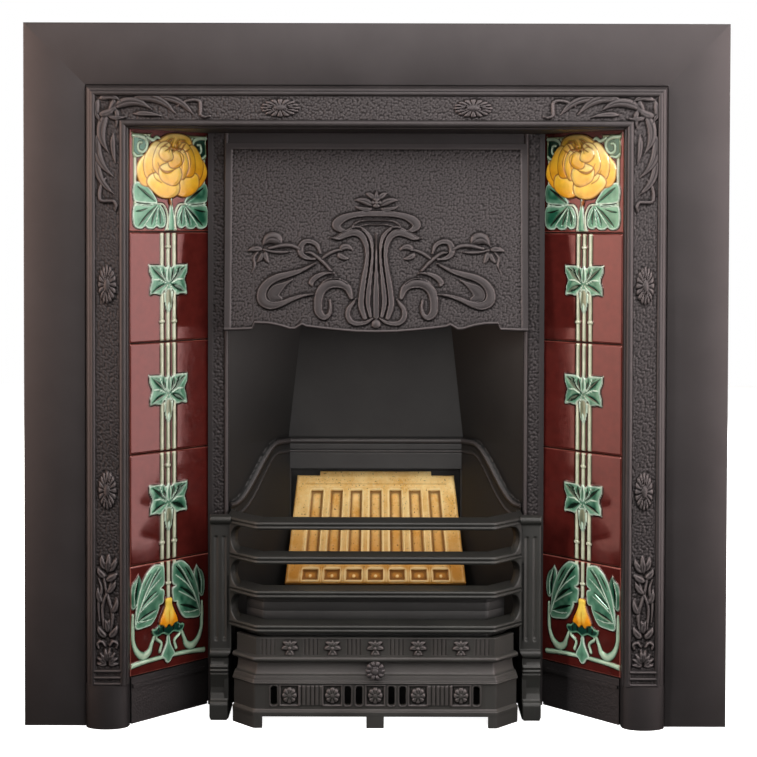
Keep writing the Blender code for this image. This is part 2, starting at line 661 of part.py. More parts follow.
def build_grate_front():
    grate = node("grate_front", swept(BAR_PATH, bar_section(BAR_BOTTOMS[0]), "level"))
    for bottom in BAR_BOTTOMS[1:]:
        add(grate, swept(BAR_PATH, bar_section(bottom), "level"))
    front = PILLAR_FRONT
    face = [(front + 14.0, 0.0), (front - 5.0, 0.0), (front - 5.0, 22.0), (front - 3.5, 25.0)]
    face += [(front + 3.0, 30.0), (front + 4.0, 38.0), (front + 1.0, 52.0), (front - 1.0, 62.0), (front - 1.0, 66.0)]
    face += [(front + 1.0, 67.5), (front - 1.5, 69.5), (front + 1.0, 71.5), (front + 1.0, 73.0), (front - 1.5, 75.0)]
    face += [(front + 1.0, 77.0), (front + 2.4, 84.0), (front - 3.2, 90.0), (front - 3.2, 95.0), (front + 2.0, 98.0)]
    face += [(front + 2.0, 260.0), (front - 1.0, 264.0), (front - 1.0, 268.0), (front + 1.5, 270.0)]
    face += [(front - 2.0, 276.0), (front - 3.0, 279.0), (front - 1.0, 283.5), (front + 14.0, 285.0)]
    for side in (-1, 1):
        edges = sorted((side * PILLAR_INNER, side * PILLAR_OUTER))
        add(grate, crosswise(face, *edges))
        wall = sorted((side * PILLAR_INNER, side * (PILLAR_INNER + 6.0)))
        add(grate, block(*wall, front + 2.0, STRIP_FRONT - 2.0, 0.0, 282.0))
        for flute in (209.0, 223.0):
            middle = side * flute
            groove = arc((middle, front + 1.0), 4.0, 0, 360, 8)[:-1]
            cut(grate, column(groove, 112.0, 254.0))
        for low, high in zip(BAR_BOTTOMS, BAR_BOTTOMS[1:]):
            add_slot_end(grate, side, low + 9.0, high + 1.0)
    return grate


def add_slot_end(grate, side, low, high):
    """The rounded end of the gap between two bars, where they meet the pillar."""
    outer = Vector((side * (PILLAR_INNER + 2.0), 30.0))
    corner = Vector((side * BAR_PATH[2][0], BAR_PATH[2][1]))
    run = (corner - outer).normalized()
    inward = Vector((side * run.y, -side * run.x))
    radius = 14.0

    def face(s, v, h):
        spot = outer + run * s + inward * h
        return point(spot.x, spot.y, v)

    for edge, way in ((low, 1), (high, -1)):
        fillet = [(-2.0, edge), (radius, edge)]
        for i in range(1, 4):
            turn = math.radians(90 * i / 4)
            fillet.append((radius - radius * math.sin(turn), edge + way * radius * (1 - math.cos(turn)) + way * 1.5))
        fillet.append((-2.0, edge + way * (radius + 1.5)))
        add(grate, on_face(face, fillet, 1.0, 16.0))


def build_bottom_grate():
    """The slotted tray with its upturned lip behind the lower bars."""
    lip = ((-181.0, 47.0), (-156.0, 22.0), (156.0, 22.0), (181.0, 47.0))
    section = [(0.0, 118.0), (-0.2, 130.0), (-1.6, 134.0), (0.4, 138.0), (-1.6, 143.0), (0.4, 148.0), (-1.6, 153.0)]
    section += [(0.4, 158.0), (-1.6, 163.0), (0.4, 168.0), (-1.6, 173.0), (-0.6, 179.0), (1.5, 181.0), (6.0, 181.0)]
    section += [(6.0, 118.0)]
    tray = node("bottom_grate", swept(lip, section, "square"))
    right = [(154.0, 24.5), (178.0, 48.0), (184.0, 54.0), (184.0, 93.0), (190.0, 100.0), (145.0, 159.0)]
    floor = right + [(-x, d) for x, d in reversed(right)]
    add(tray, column(floor, 118.0, 127.0))
    for i in range(9):
        middle = (i - 4) * 32.0
        cut(tray, block(middle - 6.0, middle + 6.0, 38.0, 146.0, 110.0, 135.0))
    return tray


def cover_section():
    outer = [(0.0, FOOT_HEIGHT), (0.0, 23.0), (BAND_SET, 26.0), (BAND_SET, 59.5), (0.8, 61.0), (0.8, 63.5), (2.6, 65.0)]
    for i in range(6):
        turn = math.radians(18 * i)
        outer.append((2.0 + 5.6 * math.sin(turn), 68.0 + 20.0 * (1 - math.cos(turn))))
    outer += [(7.8, 90.0), (0.8, 91.0), (0.0, 92.5), (0.0, 96.5), (1.2, 98.0), (STRIP_SET, 99.0), (STRIP_SET, 121.0)]
    outer += [(STRIP_SET + 1.2, 123.0)]
    inner = [(14.0, 123.0), (14.0, 68.0), (9.2, 60.0), (9.2, 24.0), (6.5, FOOT_HEIGHT)]
    return outer + inner


def strip_face(u, v, h):
    return point(u, COVER_PATH[1][1] + STRIP_SET - h, v)


def panel_face(u, v, h):
    return point(u, COVER_PATH[1][1] + BAND_SET - h, v)


def build_ashpan_cover():
    cover = node("ashpan_cover", swept(COVER_PATH, cover_section(), "square"))
    front = COVER_PATH[1][1]
    add(cover, block(-12.0, 12.0, front + 0.4, front + 6.0, 0.0, FOOT_HEIGHT + 4.0))
    outside = mitred(COVER_PATH, 0.4, "square")
    inside = mitred(COVER_PATH, 6.0, "square")
    for side in (-1, 1):
        foot = [(155.0, outside[2].y), tuple(outside[2]), tuple(outside[3]), tuple(inside[3]), tuple(inside[2])]
        foot.append((155.0, inside[2].y))
        add(cover, column(mirrored(foot, side), 0.0, FOOT_HEIGHT + 4.0))
    for across in (22.0, 37.7, 139.0):
        for side in (-1, 1):
            middle = side * across
            cut(cover, block(middle - 4.5, middle + 4.5, front - 5.0, front + 20.0, 32.0, 58.0))
    for i in range(-2, 3):
        middle = i * 58.8
        add(cover, on_face(panel_face, arc((middle, 45.0), (15.5, 19.0), 45, 315, 3), -1.0, 1.6))
        add(cover, petalled(panel_face, (middle, 45.0), (10.0, 12.0), 8, 4.0, sink=1.0))
        for tip, half in (((0.0, 11.0), 4.0), ((-10.5, 5.0), 3.4), ((10.5, 5.0), 3.4), ((-9.0, -6.0), 3.0),
                          ((9.0, -6.0), 3.0)):
            add(cover, leaf(strip_face, (middle, 108.0), (middle + tip[0], 109.0 + tip[1]), half, 3.6))
        add(cover, boss(strip_face, (middle, 107.5), (3.6, 3.6), 4.4, sides=6))
    for side in (-1, 1):
        for i in range(4):
            middle = side * (77.0 + 8.0 * i)
            add(cover, on_face(panel_face, ((middle - 2.4, 32.0), (middle + 2.4, 32.0), (middle + 2.4, 58.0),
                                            (middle - 2.4, 58.0)), -1.0, 2.4))
    return cover


def build_ashpan_knob():
    """A daisy-shaped knob on a short neck; its back keeps clear of the cover's hollow."""
    petals = 8
    sides = petals * 2
    stages = ((-4.4, 4.5), (-9.5, 4.8), (-11.0, 11.0), (-13.6, KNOB_RADIUS), (-16.5, 12.4), (-18.0, 7.0), (-19.3, 5.0),
              (KNOB_FRONT, 2.6))
    rings = []
    for depth, radius in stages:
        lobes = 0.10 if radius > 10.0 else 0.0
        ring = []
        for i in range(sides):
            turn = 2 * math.pi * i / sides
            reach = radius * (1 - lobes * (1 - math.cos(petals * turn)) / 2)
            ring.append(point(reach * math.cos(turn), depth, KNOB_HEIGHT + reach * math.sin(turn)))
        rings.append(ring)
    return node("ashpan_knob", rings)


def main():
    build_front_plate()
    for name, side in (("left", -1), ("right", 1)):
        build_tile_slide("tile_slide_" + name, side)
        for level in range(TILE_COUNT):
            build_tile(f"tile_{name}_{level + 1}", side, level)
        build_firebox_side("firebox_" + name, side)
    build_hood()
    build_firebox_back()
    build_fireclay()
    build_bottom_grate()
    build_grate_front()
    build_ashpan_cover()
    build_ashpan_knob()
    bpy.context.view_layer.update()


main()
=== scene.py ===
import json
import math

import bmesh
import bpy
import numpy as np
from mathutils import Matrix, Vector

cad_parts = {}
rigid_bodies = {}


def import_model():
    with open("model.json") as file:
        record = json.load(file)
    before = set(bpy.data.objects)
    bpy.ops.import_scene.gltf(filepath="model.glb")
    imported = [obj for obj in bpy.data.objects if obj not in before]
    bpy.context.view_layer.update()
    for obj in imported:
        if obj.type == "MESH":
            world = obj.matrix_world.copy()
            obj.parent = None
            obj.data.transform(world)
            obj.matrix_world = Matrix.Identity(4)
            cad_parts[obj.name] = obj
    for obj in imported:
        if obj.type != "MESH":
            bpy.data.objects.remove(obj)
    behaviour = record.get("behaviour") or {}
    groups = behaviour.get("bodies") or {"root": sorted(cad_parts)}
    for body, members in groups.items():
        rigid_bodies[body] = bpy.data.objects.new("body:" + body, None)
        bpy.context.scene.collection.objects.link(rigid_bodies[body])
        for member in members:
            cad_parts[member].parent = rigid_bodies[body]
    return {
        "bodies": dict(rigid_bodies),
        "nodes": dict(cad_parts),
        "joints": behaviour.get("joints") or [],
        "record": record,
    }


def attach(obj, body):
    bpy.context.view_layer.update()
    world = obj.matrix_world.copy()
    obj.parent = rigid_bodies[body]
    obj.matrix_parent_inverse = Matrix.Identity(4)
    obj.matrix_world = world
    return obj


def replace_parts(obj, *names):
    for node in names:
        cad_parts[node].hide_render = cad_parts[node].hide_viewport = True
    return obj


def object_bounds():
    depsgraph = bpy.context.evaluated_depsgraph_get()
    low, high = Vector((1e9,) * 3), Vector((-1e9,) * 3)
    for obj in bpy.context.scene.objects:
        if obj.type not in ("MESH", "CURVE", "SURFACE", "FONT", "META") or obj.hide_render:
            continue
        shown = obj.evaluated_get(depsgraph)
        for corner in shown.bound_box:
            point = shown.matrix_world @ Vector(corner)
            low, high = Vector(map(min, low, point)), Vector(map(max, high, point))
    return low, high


# Tiled cast-iron fireplace insert. Shapes are drawn in millimetres as across, depth and height:
# across from the middle, depth behind the front plate's face, height above the hearth.

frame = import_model()
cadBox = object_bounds()
nodes = frame["nodes"]
mm = 0.001
knobReach = 20.0  # the ash cover's knob is the foremost point of the whole insert
plateFace = cadBox[0].y / mm + knobReach


# Meshes

def spot(across, depth, height):
    return Vector((across, plateFace + depth, height)) * mm


def inPlace(across, depth, height):
    # the same for whole arrays of points
    return np.stack([across, plateFace + depth, height], axis=1) * mm


def finishPiece(bm, name, material, sharp=35.0):
    mesh = bpy.data.meshes.new(name)
    bm.to_mesh(mesh)
    bm.free()
    return placePiece(mesh, name, material, sharp)


def placePiece(mesh, name, material, sharp):
    mesh.shade_smooth()
    mesh.set_sharp_from_angle(angle=math.radians(sharp))
    piece = bpy.data.objects.new(name, mesh)
    bpy.context.scene.collection.objects.link(piece)
    mesh.materials.append(material)
    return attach(piece, "root")


smoothings = 8  # each reaches one cell of a sheet's grid further


def standingOut(mesh, height, front):
    # how far each point of the face stands above the points round it, in mm: hollows come out negative
    ends = np.empty(2 * len(mesh.edges), np.int32)
    mesh.edges.foreach_get("vertices", ends)
    first, second = ends.reshape(-1, 2).T
    kept = front[first] & front[second]
    first, second = first[kept], second[kept]
    total = len(height)
    count = 1 + np.bincount(first, minlength=total) + np.bincount(second, minlength=total)
    level = height
    for _ in range(smoothings):
        level = (level + np.bincount(first, level[second], total) + np.bincount(second, level[first], total)) / count
    return np.where(front, height - level, 0.0)


def unraised(u, v):
    return np.zeros_like(u), None


def reliefSheet(name, place, uEnds, vEnds, grain, shape, thickness, look, sharp=70.0, opening=None):
    # A grid over the face, raised by shape(u, v) and closed behind. place(u, v, h) says where a point lies;
    # shape gives the heights, and a colour for each point where the face is painted; opening says what is cut out.
    start = np.array([uEnds[0], vEnds[0]])
    run = np.array([uEnds[1], vEnds[1]]) - start
    columns, rows = (max(2, round(abs(length) / pitch)) for length, pitch in zip(run, grain))
    cells = np.array([columns, rows])
    bm = bmesh.new()
    bmesh.ops.create_grid(bm, x_segments=columns, y_segments=rows, size=0.5)
    if opening:
        centres = np.array([face.calc_center_median()[:2] for face in bm.faces])
        low, high = centres.min(axis=0), centres.max(axis=0)
        share = (centres - low) / (high - low) * (1 - 1 / cells) + 0.5 / cells
        cut = opening(*(start + run * share).T)
        bmesh.ops.delete(bm, geom=[face for face, gone in zip(bm.faces, cut) if gone], context="FACES")
        grown = bmesh.ops.extrude_face_region(bm, geom=bm.faces[:])["geom"]
    else:
        grown = bmesh.ops.extrude_edge_only(bm, edges=[edge for edge in bm.edges if edge.is_boundary])["geom"]
    for part in grown:
        if isinstance(part, bmesh.types.BMVert):
            part.co.z = -1.0
    if not opening:
        bmesh.ops.holes_fill(bm, edges=[part for part in grown if isinstance(part, bmesh.types.BMEdge)])
    bmesh.ops.recalc_face_normals(bm, faces=bm.faces)
    mesh = bpy.data.meshes.new(name)
    bm.to_mesh(mesh)
    bm.free()
    flat = np.empty(len(mesh.vertices) * 3)
    mesh.vertices.foreach_get("co", flat)
    flat = flat.reshape(-1, 3)
    low, high = flat.min(axis=0), flat.max(axis=0)
    u, v = (start + run * (flat[:, :2] - low[:2]) / (high[:2] - low[:2])).T
    height, colour = shape(u, v)
    height = np.where(flat[:, 2] < -0.5, -thickness, height)
    mesh.vertices.foreach_set("co", place(u, v, height).astype(np.float32).ravel())
    # a small step along u, along v and outwards tells whether the sheet came out turned
    middle = (start + run / 2)[:, None]
    origin, *ends = (place(middle[0] + a, middle[1] + b, np.array([c]))[0]
                     for a, b, c in ((0, 0, 0), (0.5, 0, 0), (0, 0.5, 0), (0, 0, 1.0)))
    across, upward, outward = (end - origin for end in ends)
    if np.dot(np.cross(across, upward), outward) < 0:
        mesh.flip_normals()
    if colour is not None:
        layer = mesh.color_attributes.new("glazeColour", "FLOAT_COLOR", "POINT")
        layer.data.foreach_set("color", np.hstack([colour, np.ones((len(colour), 1))]).astype(np.float32).ravel())
    edge = mesh.attributes.new("standsOut", "FLOAT", "POINT")
    edge.data.foreach_set("value", standingOut(mesh, height, flat[:, 2] > -0.5).astype(np.float32))
    mesh.update()
    return placePiece(mesh, name, look[0], sharp)


def sweep(bm, stations):
    # draws a closed outline through its stations; each station gives the place of every point of the outline
    mark = bm.verts.layers.int.get("mark") or bm.verts.layers.int.new("mark")
    first = [bm.verts.new(place) for place in stations[0]]
    for number, vert in enumerate(first):
        vert[mark] = number
    cap = [bm.faces.new(first)]
    for places in stations[1:]:
        grown = bmesh.ops.extrude_face_region(bm, geom=cap)["geom"]
        cap = [part for part in grown if isinstance(part, bmesh.types.BMFace)]
        for part in grown:
            if isinstance(part, bmesh.types.BMVert):
                part.co = places[part[mark]]
    bmesh.ops.recalc_face_normals(bm, faces=bm.faces)


def arcPoints(centre, radii, start, end, steps):
    turns = [math.radians(start + (end - start) * i / steps) for i in range(steps + 1)]
    return [(centre[0] + radii[0] * math.cos(turn), centre[1] + radii[1] * math.sin(turn)) for turn in turns]


def upright(outline, low, high):
    # two stations of a plan outline
    return [[spot(x, d, z) for x, d in outline] for z in (low, high)]


def crosswise(outline, first, last):
    # two stations of a side outline of depths and heights
    return [[spot(x, d, z) for d, z in outline] for x in (first, last)]


def addBlock(bm, across, depths, heights):
    (left, right), (near, far) = across, depths
    sweep(bm, upright([(left, near), (right, near), (right, far), (left, far)], *heights))


sides = (("left", -1), ("right", 1))


# Drawn lines and ornament, as heights over a face

def curveRun(a, b, c, d, steps):
    # the part of a Catmull-Rom curve between b and c
    t = np.linspace(0, 1, steps, endpoint=False)[:, None]
    return 0.5 * (2 * b + (c - a) * t + (2 * a - 5 * b + 4 * c - d) * t**2 + (3 * b - a - 3 * c + d) * t**3)


def laid(points, middle, way=1, foot=0.0, heavy=1.0):
    # puts the drawing of one side in its place: way -1 mirrors it, and heavy widens its lines
    return [(middle + way * a, foot + b, *(half * heavy for half in rest)) for a, b, *rest in points]


def alongRun(x, y, start, end):
    # how far along a straight run each point lies, from 0 to 1, and how far away from it, in mm
    run = end - start
    t = np.clip(((x - start[0]) * run[0] + (y - start[1]) * run[1]) / (run @ run + 1e-9), 0, 1)
    return t, np.hypot(x - start[0] - run[0] * t, y - start[1] - run[1] * t)


def inside(u, v, points, steps=5):
    # How far each point is inside a line that swells and narrows, in mm, the line's half width there, and how far
    # along the line it is, from 0 to 1. The line's points are (u, v, half width).
    p = np.array(points, float)
    p = np.vstack([2 * p[0] - p[1], p, 2 * p[-1] - p[-2]])
    path = np.vstack([*(curveRun(*corners, steps) for corners in zip(p, p[1:], p[2:], p[3:])), p[-2][None]])
    reach = path[:, 2].max() + 0.5
    low, high = path.min(axis=0), path.max(axis=0)
    near = (u > low[0] - reach) & (u < high[0] + reach) & (v > low[1] - reach) & (v < high[1] + reach)
    depth, half, along = np.full(u.shape, -99.0), np.ones(u.shape), np.zeros(u.shape)
    if not near.any():
        return depth, half, along
    x, y, best, width, share = (values[near] for values in (u, v, depth, half, along))
    for i, (a, b) in enumerate(zip(path, path[1:])):
        t, gap = alongRun(x, y, a[:2], b[:2])
        here = np.maximum(a[2] + (b[2] - a[2]) * t, 0.05)
        better = here - gap > best
        best = np.where(better, here - gap, best)
        width = np.where(better, here, width)
        share = np.where(better, (i + t) / (len(path) - 1), share)
    depth[near], half[near], along[near] = best, width, share
    return depth, half, along


def swell(depth, radius):
    t = np.clip(depth / radius, 0, 1)
    return t * (2 - t)


def step(value, low, high):
    t = np.clip((value - low) / (high - low), 0, 1)
    return t * t * (3 - 2 * t)


def scatter(x, y, seed):
    # an even random number for each whole-numbered cell
    n = np.sin(x * 127.1 + y * 311.7 + seed * 74.7) * 43758.5453
    return n - np.floor(n)


def drift(u, v, size, seed):
    # smooth random swell, from -1 to 1
    x, y = u / size, v / size
    i, j = np.floor(x), np.floor(y)
    s, t = x - i, y - j
    s, t = s * s * (3 - 2 * s), t * t * (3 - 2 * t)
    low = scatter(i, j, seed) * (1 - s) + scatter(i + 1, j, seed) * s
    high = scatter(i, j + 1, seed) * (1 - s) + scatter(i + 1, j + 1, seed) * s
    return 2 * (low * (1 - t) + high * t) - 1


def pebbled(u, v, pitch, seed=3):
    # small rounded lumps laid close together, from 0 between them to 1 on top
    x, y = u / pitch, v / pitch
    i, j = np.floor(x), np.floor(y)
    best = np.full(u.shape, 9.0)
    for di in (-1, 0, 1):
        for dj in (-1, 0, 1):
            a, b = i + di, j + dj
            px = a + 0.5 + 0.9 * (scatter(a, b, seed) - 0.5)
            py = b + 0.5 + 0.9 * (scatter(a, b, seed + 5) - 0.5)
            best = np.minimum(best, np.hypot(x - px, y - py))
    return 1 - np.clip(best / 0.7, 0, 1) ** 2


def leafLine(root, tip, half, bend=0.0):
    # points of a pointed leaf, bent sideways by a share of its length
    a, b = np.array(root, float), np.array(tip, float)
    run = b - a
    side = np.array([-run[1], run[0]]) * bend
    ts = np.linspace(0, 1, 5)
    widths = np.sin(np.pi * ts**0.75) ** 0.8 * half + 0.25
    return [(*(a + run * t + side * 4 * t * (1 - t)), w) for t, w in zip(ts, widths)]


class Casting:
    # the heights of a cast face while its ornament is laid on
    def __init__(self, u, v, ground):
        self.u, self.v, self.height = u, v, ground

    def lay(self, cover, height):
        self.height = self.height * (1 - cover) + height * cover

    def ribbon(self, line, top):
        # a rounded band with a fine rim along each edge
        depth, half, _ = inside(self.u, self.v, line)
        rim = 0.9 * step(depth, 0.3, 1.3) * (1 - step(depth, 1.5, 2.5))
        self.lay(step(depth, -0.4, 0.9), top * (0.62 + 0.38 * swell(depth, half)) + rim - 0.5)

    def ridge(self, line, top):
        depth, half, _ = inside(self.u, self.v, line)
        self.lay(step(depth, -0.4, 0.9), top * (0.45 + 0.55 * swell(depth, half)))

    def groove(self, line, deep):
        depth, half, _ = inside(self.u, self.v, line)
        self.height = self.height - deep * step(depth / half, -0.1, 0.9)

    def leaf(self, root, tip, half, bend, top):
        depth, width, along = inside(self.u, self.v, leafLine(root, tip, half, bend), 4)
        vein = (1 - step(width - depth, 0.3, 1.4)) * (1 - step(along, 0.75, 0.95))
        self.lay(step(depth, -0.4, 0.9), top * (0.5 + 0.5 * swell(depth, half * 0.8)) - 0.7 * vein)

    def dome(self, centre, radii, top):
        reach = np.hypot((self.u - centre[0]) / radii[0], (self.v - centre[1]) / radii[1])
        self.lay(step(1.0 - reach, 0.0, 0.12), top * np.sqrt(np.clip(1.0 - 0.8 * reach**2, 0, 1)))

    def flower(self, centre, radii, petals, top, heart=0.36):
        x, y = (self.u - centre[0]) / radii[0], (self.v - centre[1]) / radii[1]
        reach, fan = np.hypot(x, y), np.abs(np.cos(np.arctan2(y, x) * petals / 2))
        edge = 0.82 + 0.18 * np.sqrt(fan)
        rise = top * (0.62 + 0.38 * swell(edge - reach, 0.45)) * (0.55 + 0.45 * step(fan, 0.1, 0.6))
        self.lay(step(edge - reach, 0.0, 0.1), rise)
        button = np.sqrt(np.clip(1 - (reach / heart) ** 2, 0, 1))
        self.lay(step(heart - reach, 0.0, 0.08), top * (0.75 + 0.5 * button))


# Materials

def rgb(code):
    # sRGB hex to linear
    values = [int(code[i:i + 2], 16) / 255 for i in (0, 2, 4)]
    return (*(c / 12.92 if c <= 0.04045 else ((c + 0.055) / 1.055) ** 2.4 for c in values), 1.0)


def setNode(tree, node, settings):
    # each setting is a value, or the output of another node to be linked
    for key, value in settings.items():
        if isinstance(value, bpy.types.NodeSocket):
            tree.links.new(value, node.inputs[key])
        elif isinstance(key, str) and key[0].islower():
            setattr(node, key, value)
        else:
            node.inputs[key].default_value = value


def addNode(tree, kind, output, settings):
    node = tree.nodes.new("ShaderNode" + kind)
    setNode(tree, node, settings)
    return node.outputs[output]


def layered(tree, colour, layers):
    # Lays colours over one another. Each comes in as its source goes from one value to another, up to its share.
    for source, start, full, most, code in layers:
        share = addNode(tree, "MapRange", "Result", {"Value": source, "From Min": start, "From Max": full,
                                                     "To Max": most})
        colour = addNode(tree, "Mix", 2, {"data_type": "RGBA", 0: share, 6: colour, 7: rgb(code)})
    return colour


def newMaterial(name):
    material = bpy.data.materials.new(name)
    material.use_nodes = True
    tree = material.node_tree
    return material, tree, addNode(tree, "TexCoord", "Object", {})


def finishMaterial(material, sockets):
    setNode(material.node_tree, material.node_tree.nodes["Principled BSDF"], sockets)
    return material


ironLook = {
    "grain": 0.9,  # the sand's grains are 0.2 mm, and drawn as coarse as they need to be to show
    # the two edge colours: rubbed wear with painted highlight on raised edges, kept blacking with painted shade in
    # hollows
    "patch": 70.0, "rubbedAndHighlit": "5c5453", "hollow": "070606",
    "warm": (1.0, 0.88, 0.88, 1.0), "dull": (1.0, 0.97, 0.95, 1.0),
}


def ironMaterial(name, dark, light, roughness, hammer=0.0, relief=0.0, sheen="warm", gloss=0.5):
    # Cast iron with stove black: a sand-cast skin whose grain scatters the light into a soft grey sheen. On carved
    # faces the raised edges are painted lighter, as rubbed wear and as painted highlight, and the hollows painted
    # black, as kept blacking and as painted shade.
    material, tree, place = newMaterial(name)
    patches = addNode(tree, "TexNoise", "Fac", {"Vector": place, "Scale": 1 / (ironLook["patch"] * mm),
                                                "Detail": 3.0})
    colour = layered(tree, rgb(dark), ((patches, 0.3, 0.7, 1.0, light),))
    if relief:
        # painted highlight on raised edges and painted shade in hollows, over rubbed wear and kept blacking
        edge = addNode(tree, "Attribute", "Fac", {"attribute_name": "standsOut"})
        colour = layered(tree, colour, ((edge, 0.04, 0.75, 0.65 * relief, ironLook["rubbedAndHighlit"]),
                                        (edge, -0.03, -0.5, 0.85 * relief, ironLook["hollow"])))
        gloss = addNode(tree, "MapRange", "Result", {"Value": edge, "From Max": -0.5, "To Min": gloss,
                                                     "To Max": gloss * (1 - 0.6 * relief)})
    sand = addNode(tree, "TexNoise", "Fac", {"Vector": place, "Scale": 1 / (ironLook["grain"] * mm), "Detail": 3.0,
                                             "Roughness": 0.6})
    rough = addNode(tree, "MapRange", "Result", {"Value": sand, "From Min": 0.3, "From Max": 0.7,
                                                 "To Min": roughness - 0.07, "To Max": roughness + 0.07})
    skin = addNode(tree, "Bump", "Normal", {"Strength": 0.22, "Distance": 0.25 * mm, "Height": sand})
    if hammer:
        dents = addNode(tree, "TexVoronoi", "Distance", {"Vector": place, "Scale": 1 / (hammer * mm),
                                                         "Randomness": 0.85})
        skin = addNode(tree, "Bump", "Normal", {"invert": True, "Strength": 0.5, "Distance": 0.6 * mm,
                                                "Height": dents, "Normal": skin})
    return finishMaterial(material, {"Base Color": colour, "Roughness": rough, "Normal": skin, "IOR": 1.5,
                                     "Specular IOR Level": gloss, "Specular Tint": ironLook[sheen]})


# near-black and soft, with the faint warmth of stove black on smooth castings
plainIron = ironMaterial("blacked_cast_iron", "1b1919", "282525", 0.46)
# the same, duller and dented all over, behind the tiles
hammeredIron = ironMaterial("hammered_cast_iron", "1b1919", "262323", 0.5, hammer=3.4)
# greyer and brighter, where hands keep rubbing the knob
polishedIron = ironMaterial("rubbed_cast_iron", "3a3636", "4a4545", 0.36)
# a flat cold black, where the fire has burnt the blacking dull
grateIron = ironMaterial("fire_bar_cast_iron", "1e1e1c", "2a2a27", 0.46, sheen="dull")
# dark grey, lighter than the frame's iron, and the same on its carved strip and panel, whose raised edges are painted
# bright as highlight and hollows dark as shade
greyCoverIron = ironMaterial("grey_cover_cast_iron", "2f2e2b", "3b3a37", 0.42)
greyCoverCarving = ironMaterial("grey_cover_carved_iron", "2b2a27", "363532", 0.44, relief=1.0)
# the frame, hood and strips: edges painted bright as rubbed wear and painted highlight, over hollows painted black as
# kept blacking and painted shade, which make the relief read
carvedIron = ironMaterial("carved_cast_iron", "1b1919", "242121", 0.44, relief=1.0)
# almost black and matt with soot, and painted darker than the back's iron as shade on the side walls; edges and
# hollows faintly painted as highlight and shade
sootedShadedIron = ironMaterial("sooted_shaded_cast_iron", "0c0c0c", "151514", 0.5, relief=0.4, sheen="dull", gloss=0.34)
# ash grey and dry, behind and under the fire
heatedIron = ironMaterial("heat_greyed_cast_iron", "252424", "2f2e2d", 0.55, relief=0.4, sheen="dull")


def glazeMaterial():
    # Majolica glaze on pressed earthenware: glassy, pooled deeper in the hollows, with a faint ripple
    material, tree, place = newMaterial("majolica_glaze")
    clouds, orange, ripple = (
        addNode(tree, "TexNoise", "Fac", {"Vector": place, "Scale": 1 / (size * mm), "Detail": detail})
        for size, detail in ((14.0, 3.0), (5.0, 2.0), (16.0, 1.0)))
    paint = addNode(tree, "Attribute", "Color", {"attribute_name": "glazeColour"})
    edge = addNode(tree, "Attribute", "Fac", {"attribute_name": "standsOut"})
    paint = layered(tree, paint, ((edge, -0.05, -0.5, 0.8, "120807"),))
    # light coming back through the glaze takes its colour
    hue = addNode(tree, "SeparateColor", 0, {"mode": "HSV", "Color": paint})
    depth = addNode(tree, "MapRange", "Result", {"Value": hue.node.outputs[1], "To Max": 0.6})
    tint = addNode(tree, "CombineColor", "Color", {"mode": "HSV", 0: hue, 1: depth, 2: 1.0})
    light, rough = (
        addNode(tree, "MapRange", "Result", {"Value": source, "From Min": 0.3, "From Max": 0.7, "To Min": low,
                                             "To Max": high})
        for source, low, high in ((clouds, 0.84, 1.16), (orange, 0.07, 0.13)))
    tone = addNode(tree, "HueSaturation", "Color", {"Color": paint, "Value": light})
    skin = addNode(tree, "Bump", "Normal", {"Strength": 0.12, "Distance": 0.5 * mm, "Height": ripple})
    return finishMaterial(material, {"Base Color": tone, "Roughness": rough, "Normal": skin, "IOR": 1.52,
                                     "Specular Tint": tint, "Coat Weight": 0.1, "Coat Roughness": 0.03})


def fireclayMaterial():
    # Fired buff clay: chalky, ochre where the heat has toned it, with dark grog specks and pin holes
    material, tree, place = newMaterial("buff_fireclay")
    clouds, flecks, specks, pores = (
        addNode(tree, "TexNoise", "Fac", {"Vector": place, "Scale": 1 / (size * mm), "Detail": detail,
                                          "Roughness": rough})
        for size, detail, rough in ((30.0, 4.0, 0.5), (5.0, 4.0, 0.7), (2.6, 2.0, 0.5), (2.2, 4.0, 0.7)))
    height = addNode(tree, "SeparateXYZ", "Z", {"Vector": place})
    edge = addNode(tree, "Attribute", "Fac", {"attribute_name": "standsOut"})
    # raised edges are painted lighter as highlight, and hollows painted brown as shade
    colour = layered(tree, rgb("f9d38c"), (
        (clouds, 0.3, 0.7, 1.0, "dca24a"), (flecks, 0.5, 0.7, 0.5, "f4dca4"), (height, 0.29, 0.18, 0.85, "b8720a"),
        (specks, 0.64, 0.7, 0.85, "6b4a22"), (edge, 0.1, 1.2, 0.7, "ffe2a4"), (edge, -0.1, -1.3, 0.8, "6e4314")))
    skin = addNode(tree, "Bump", "Normal", {"Strength": 0.45, "Distance": 0.8 * mm, "Height": pores})
    return finishMaterial(material, {"Base Color": colour, "Roughness": 0.9, "Normal": skin, "IOR": 1.45})


glaze = glazeMaterial()
fireclay = fireclayMaterial()
print("materials made")


# Tiled cheeks

cheekDrawing = {
    "outer": (337.0, 6.4), "inner": (243.0, 99.2),  # ends of the visible run in plan
    "start": -1.5, "size": 152.4, "thick": 9.0, "edge": 1.3, "bottom": 65.0, "pitch": 153.67,
    "shown": 132.0, "field": 149.0,  # the flowers are set out on a field that is fitted to the run that shows
    "grain": {1: 0.95, 5: 0.9, "plain": 1.5},
}
glazeTones = {name: np.array(rgb(code)[:3]) for name, code in {
    "oxblood": "4e1a16", "edge": "b4685a", "stem": "cccbb2", "stemShade": "76835f", "rootLight": "b8ccb0",
    "leafRim": "c6d8c4", "leaf": "6c9b7e", "leafDeep": "1a4c38", "vein": "081a12", "petal": "f6c03a",
    "petalLight": "fde49a", "petalDeep": "d6860c", "petalLine": "92541c", "bell": "f0971b", "bellLight": "ffd65a",
    "calyx": "12352a", "bud": "8f8f72"}.items()}


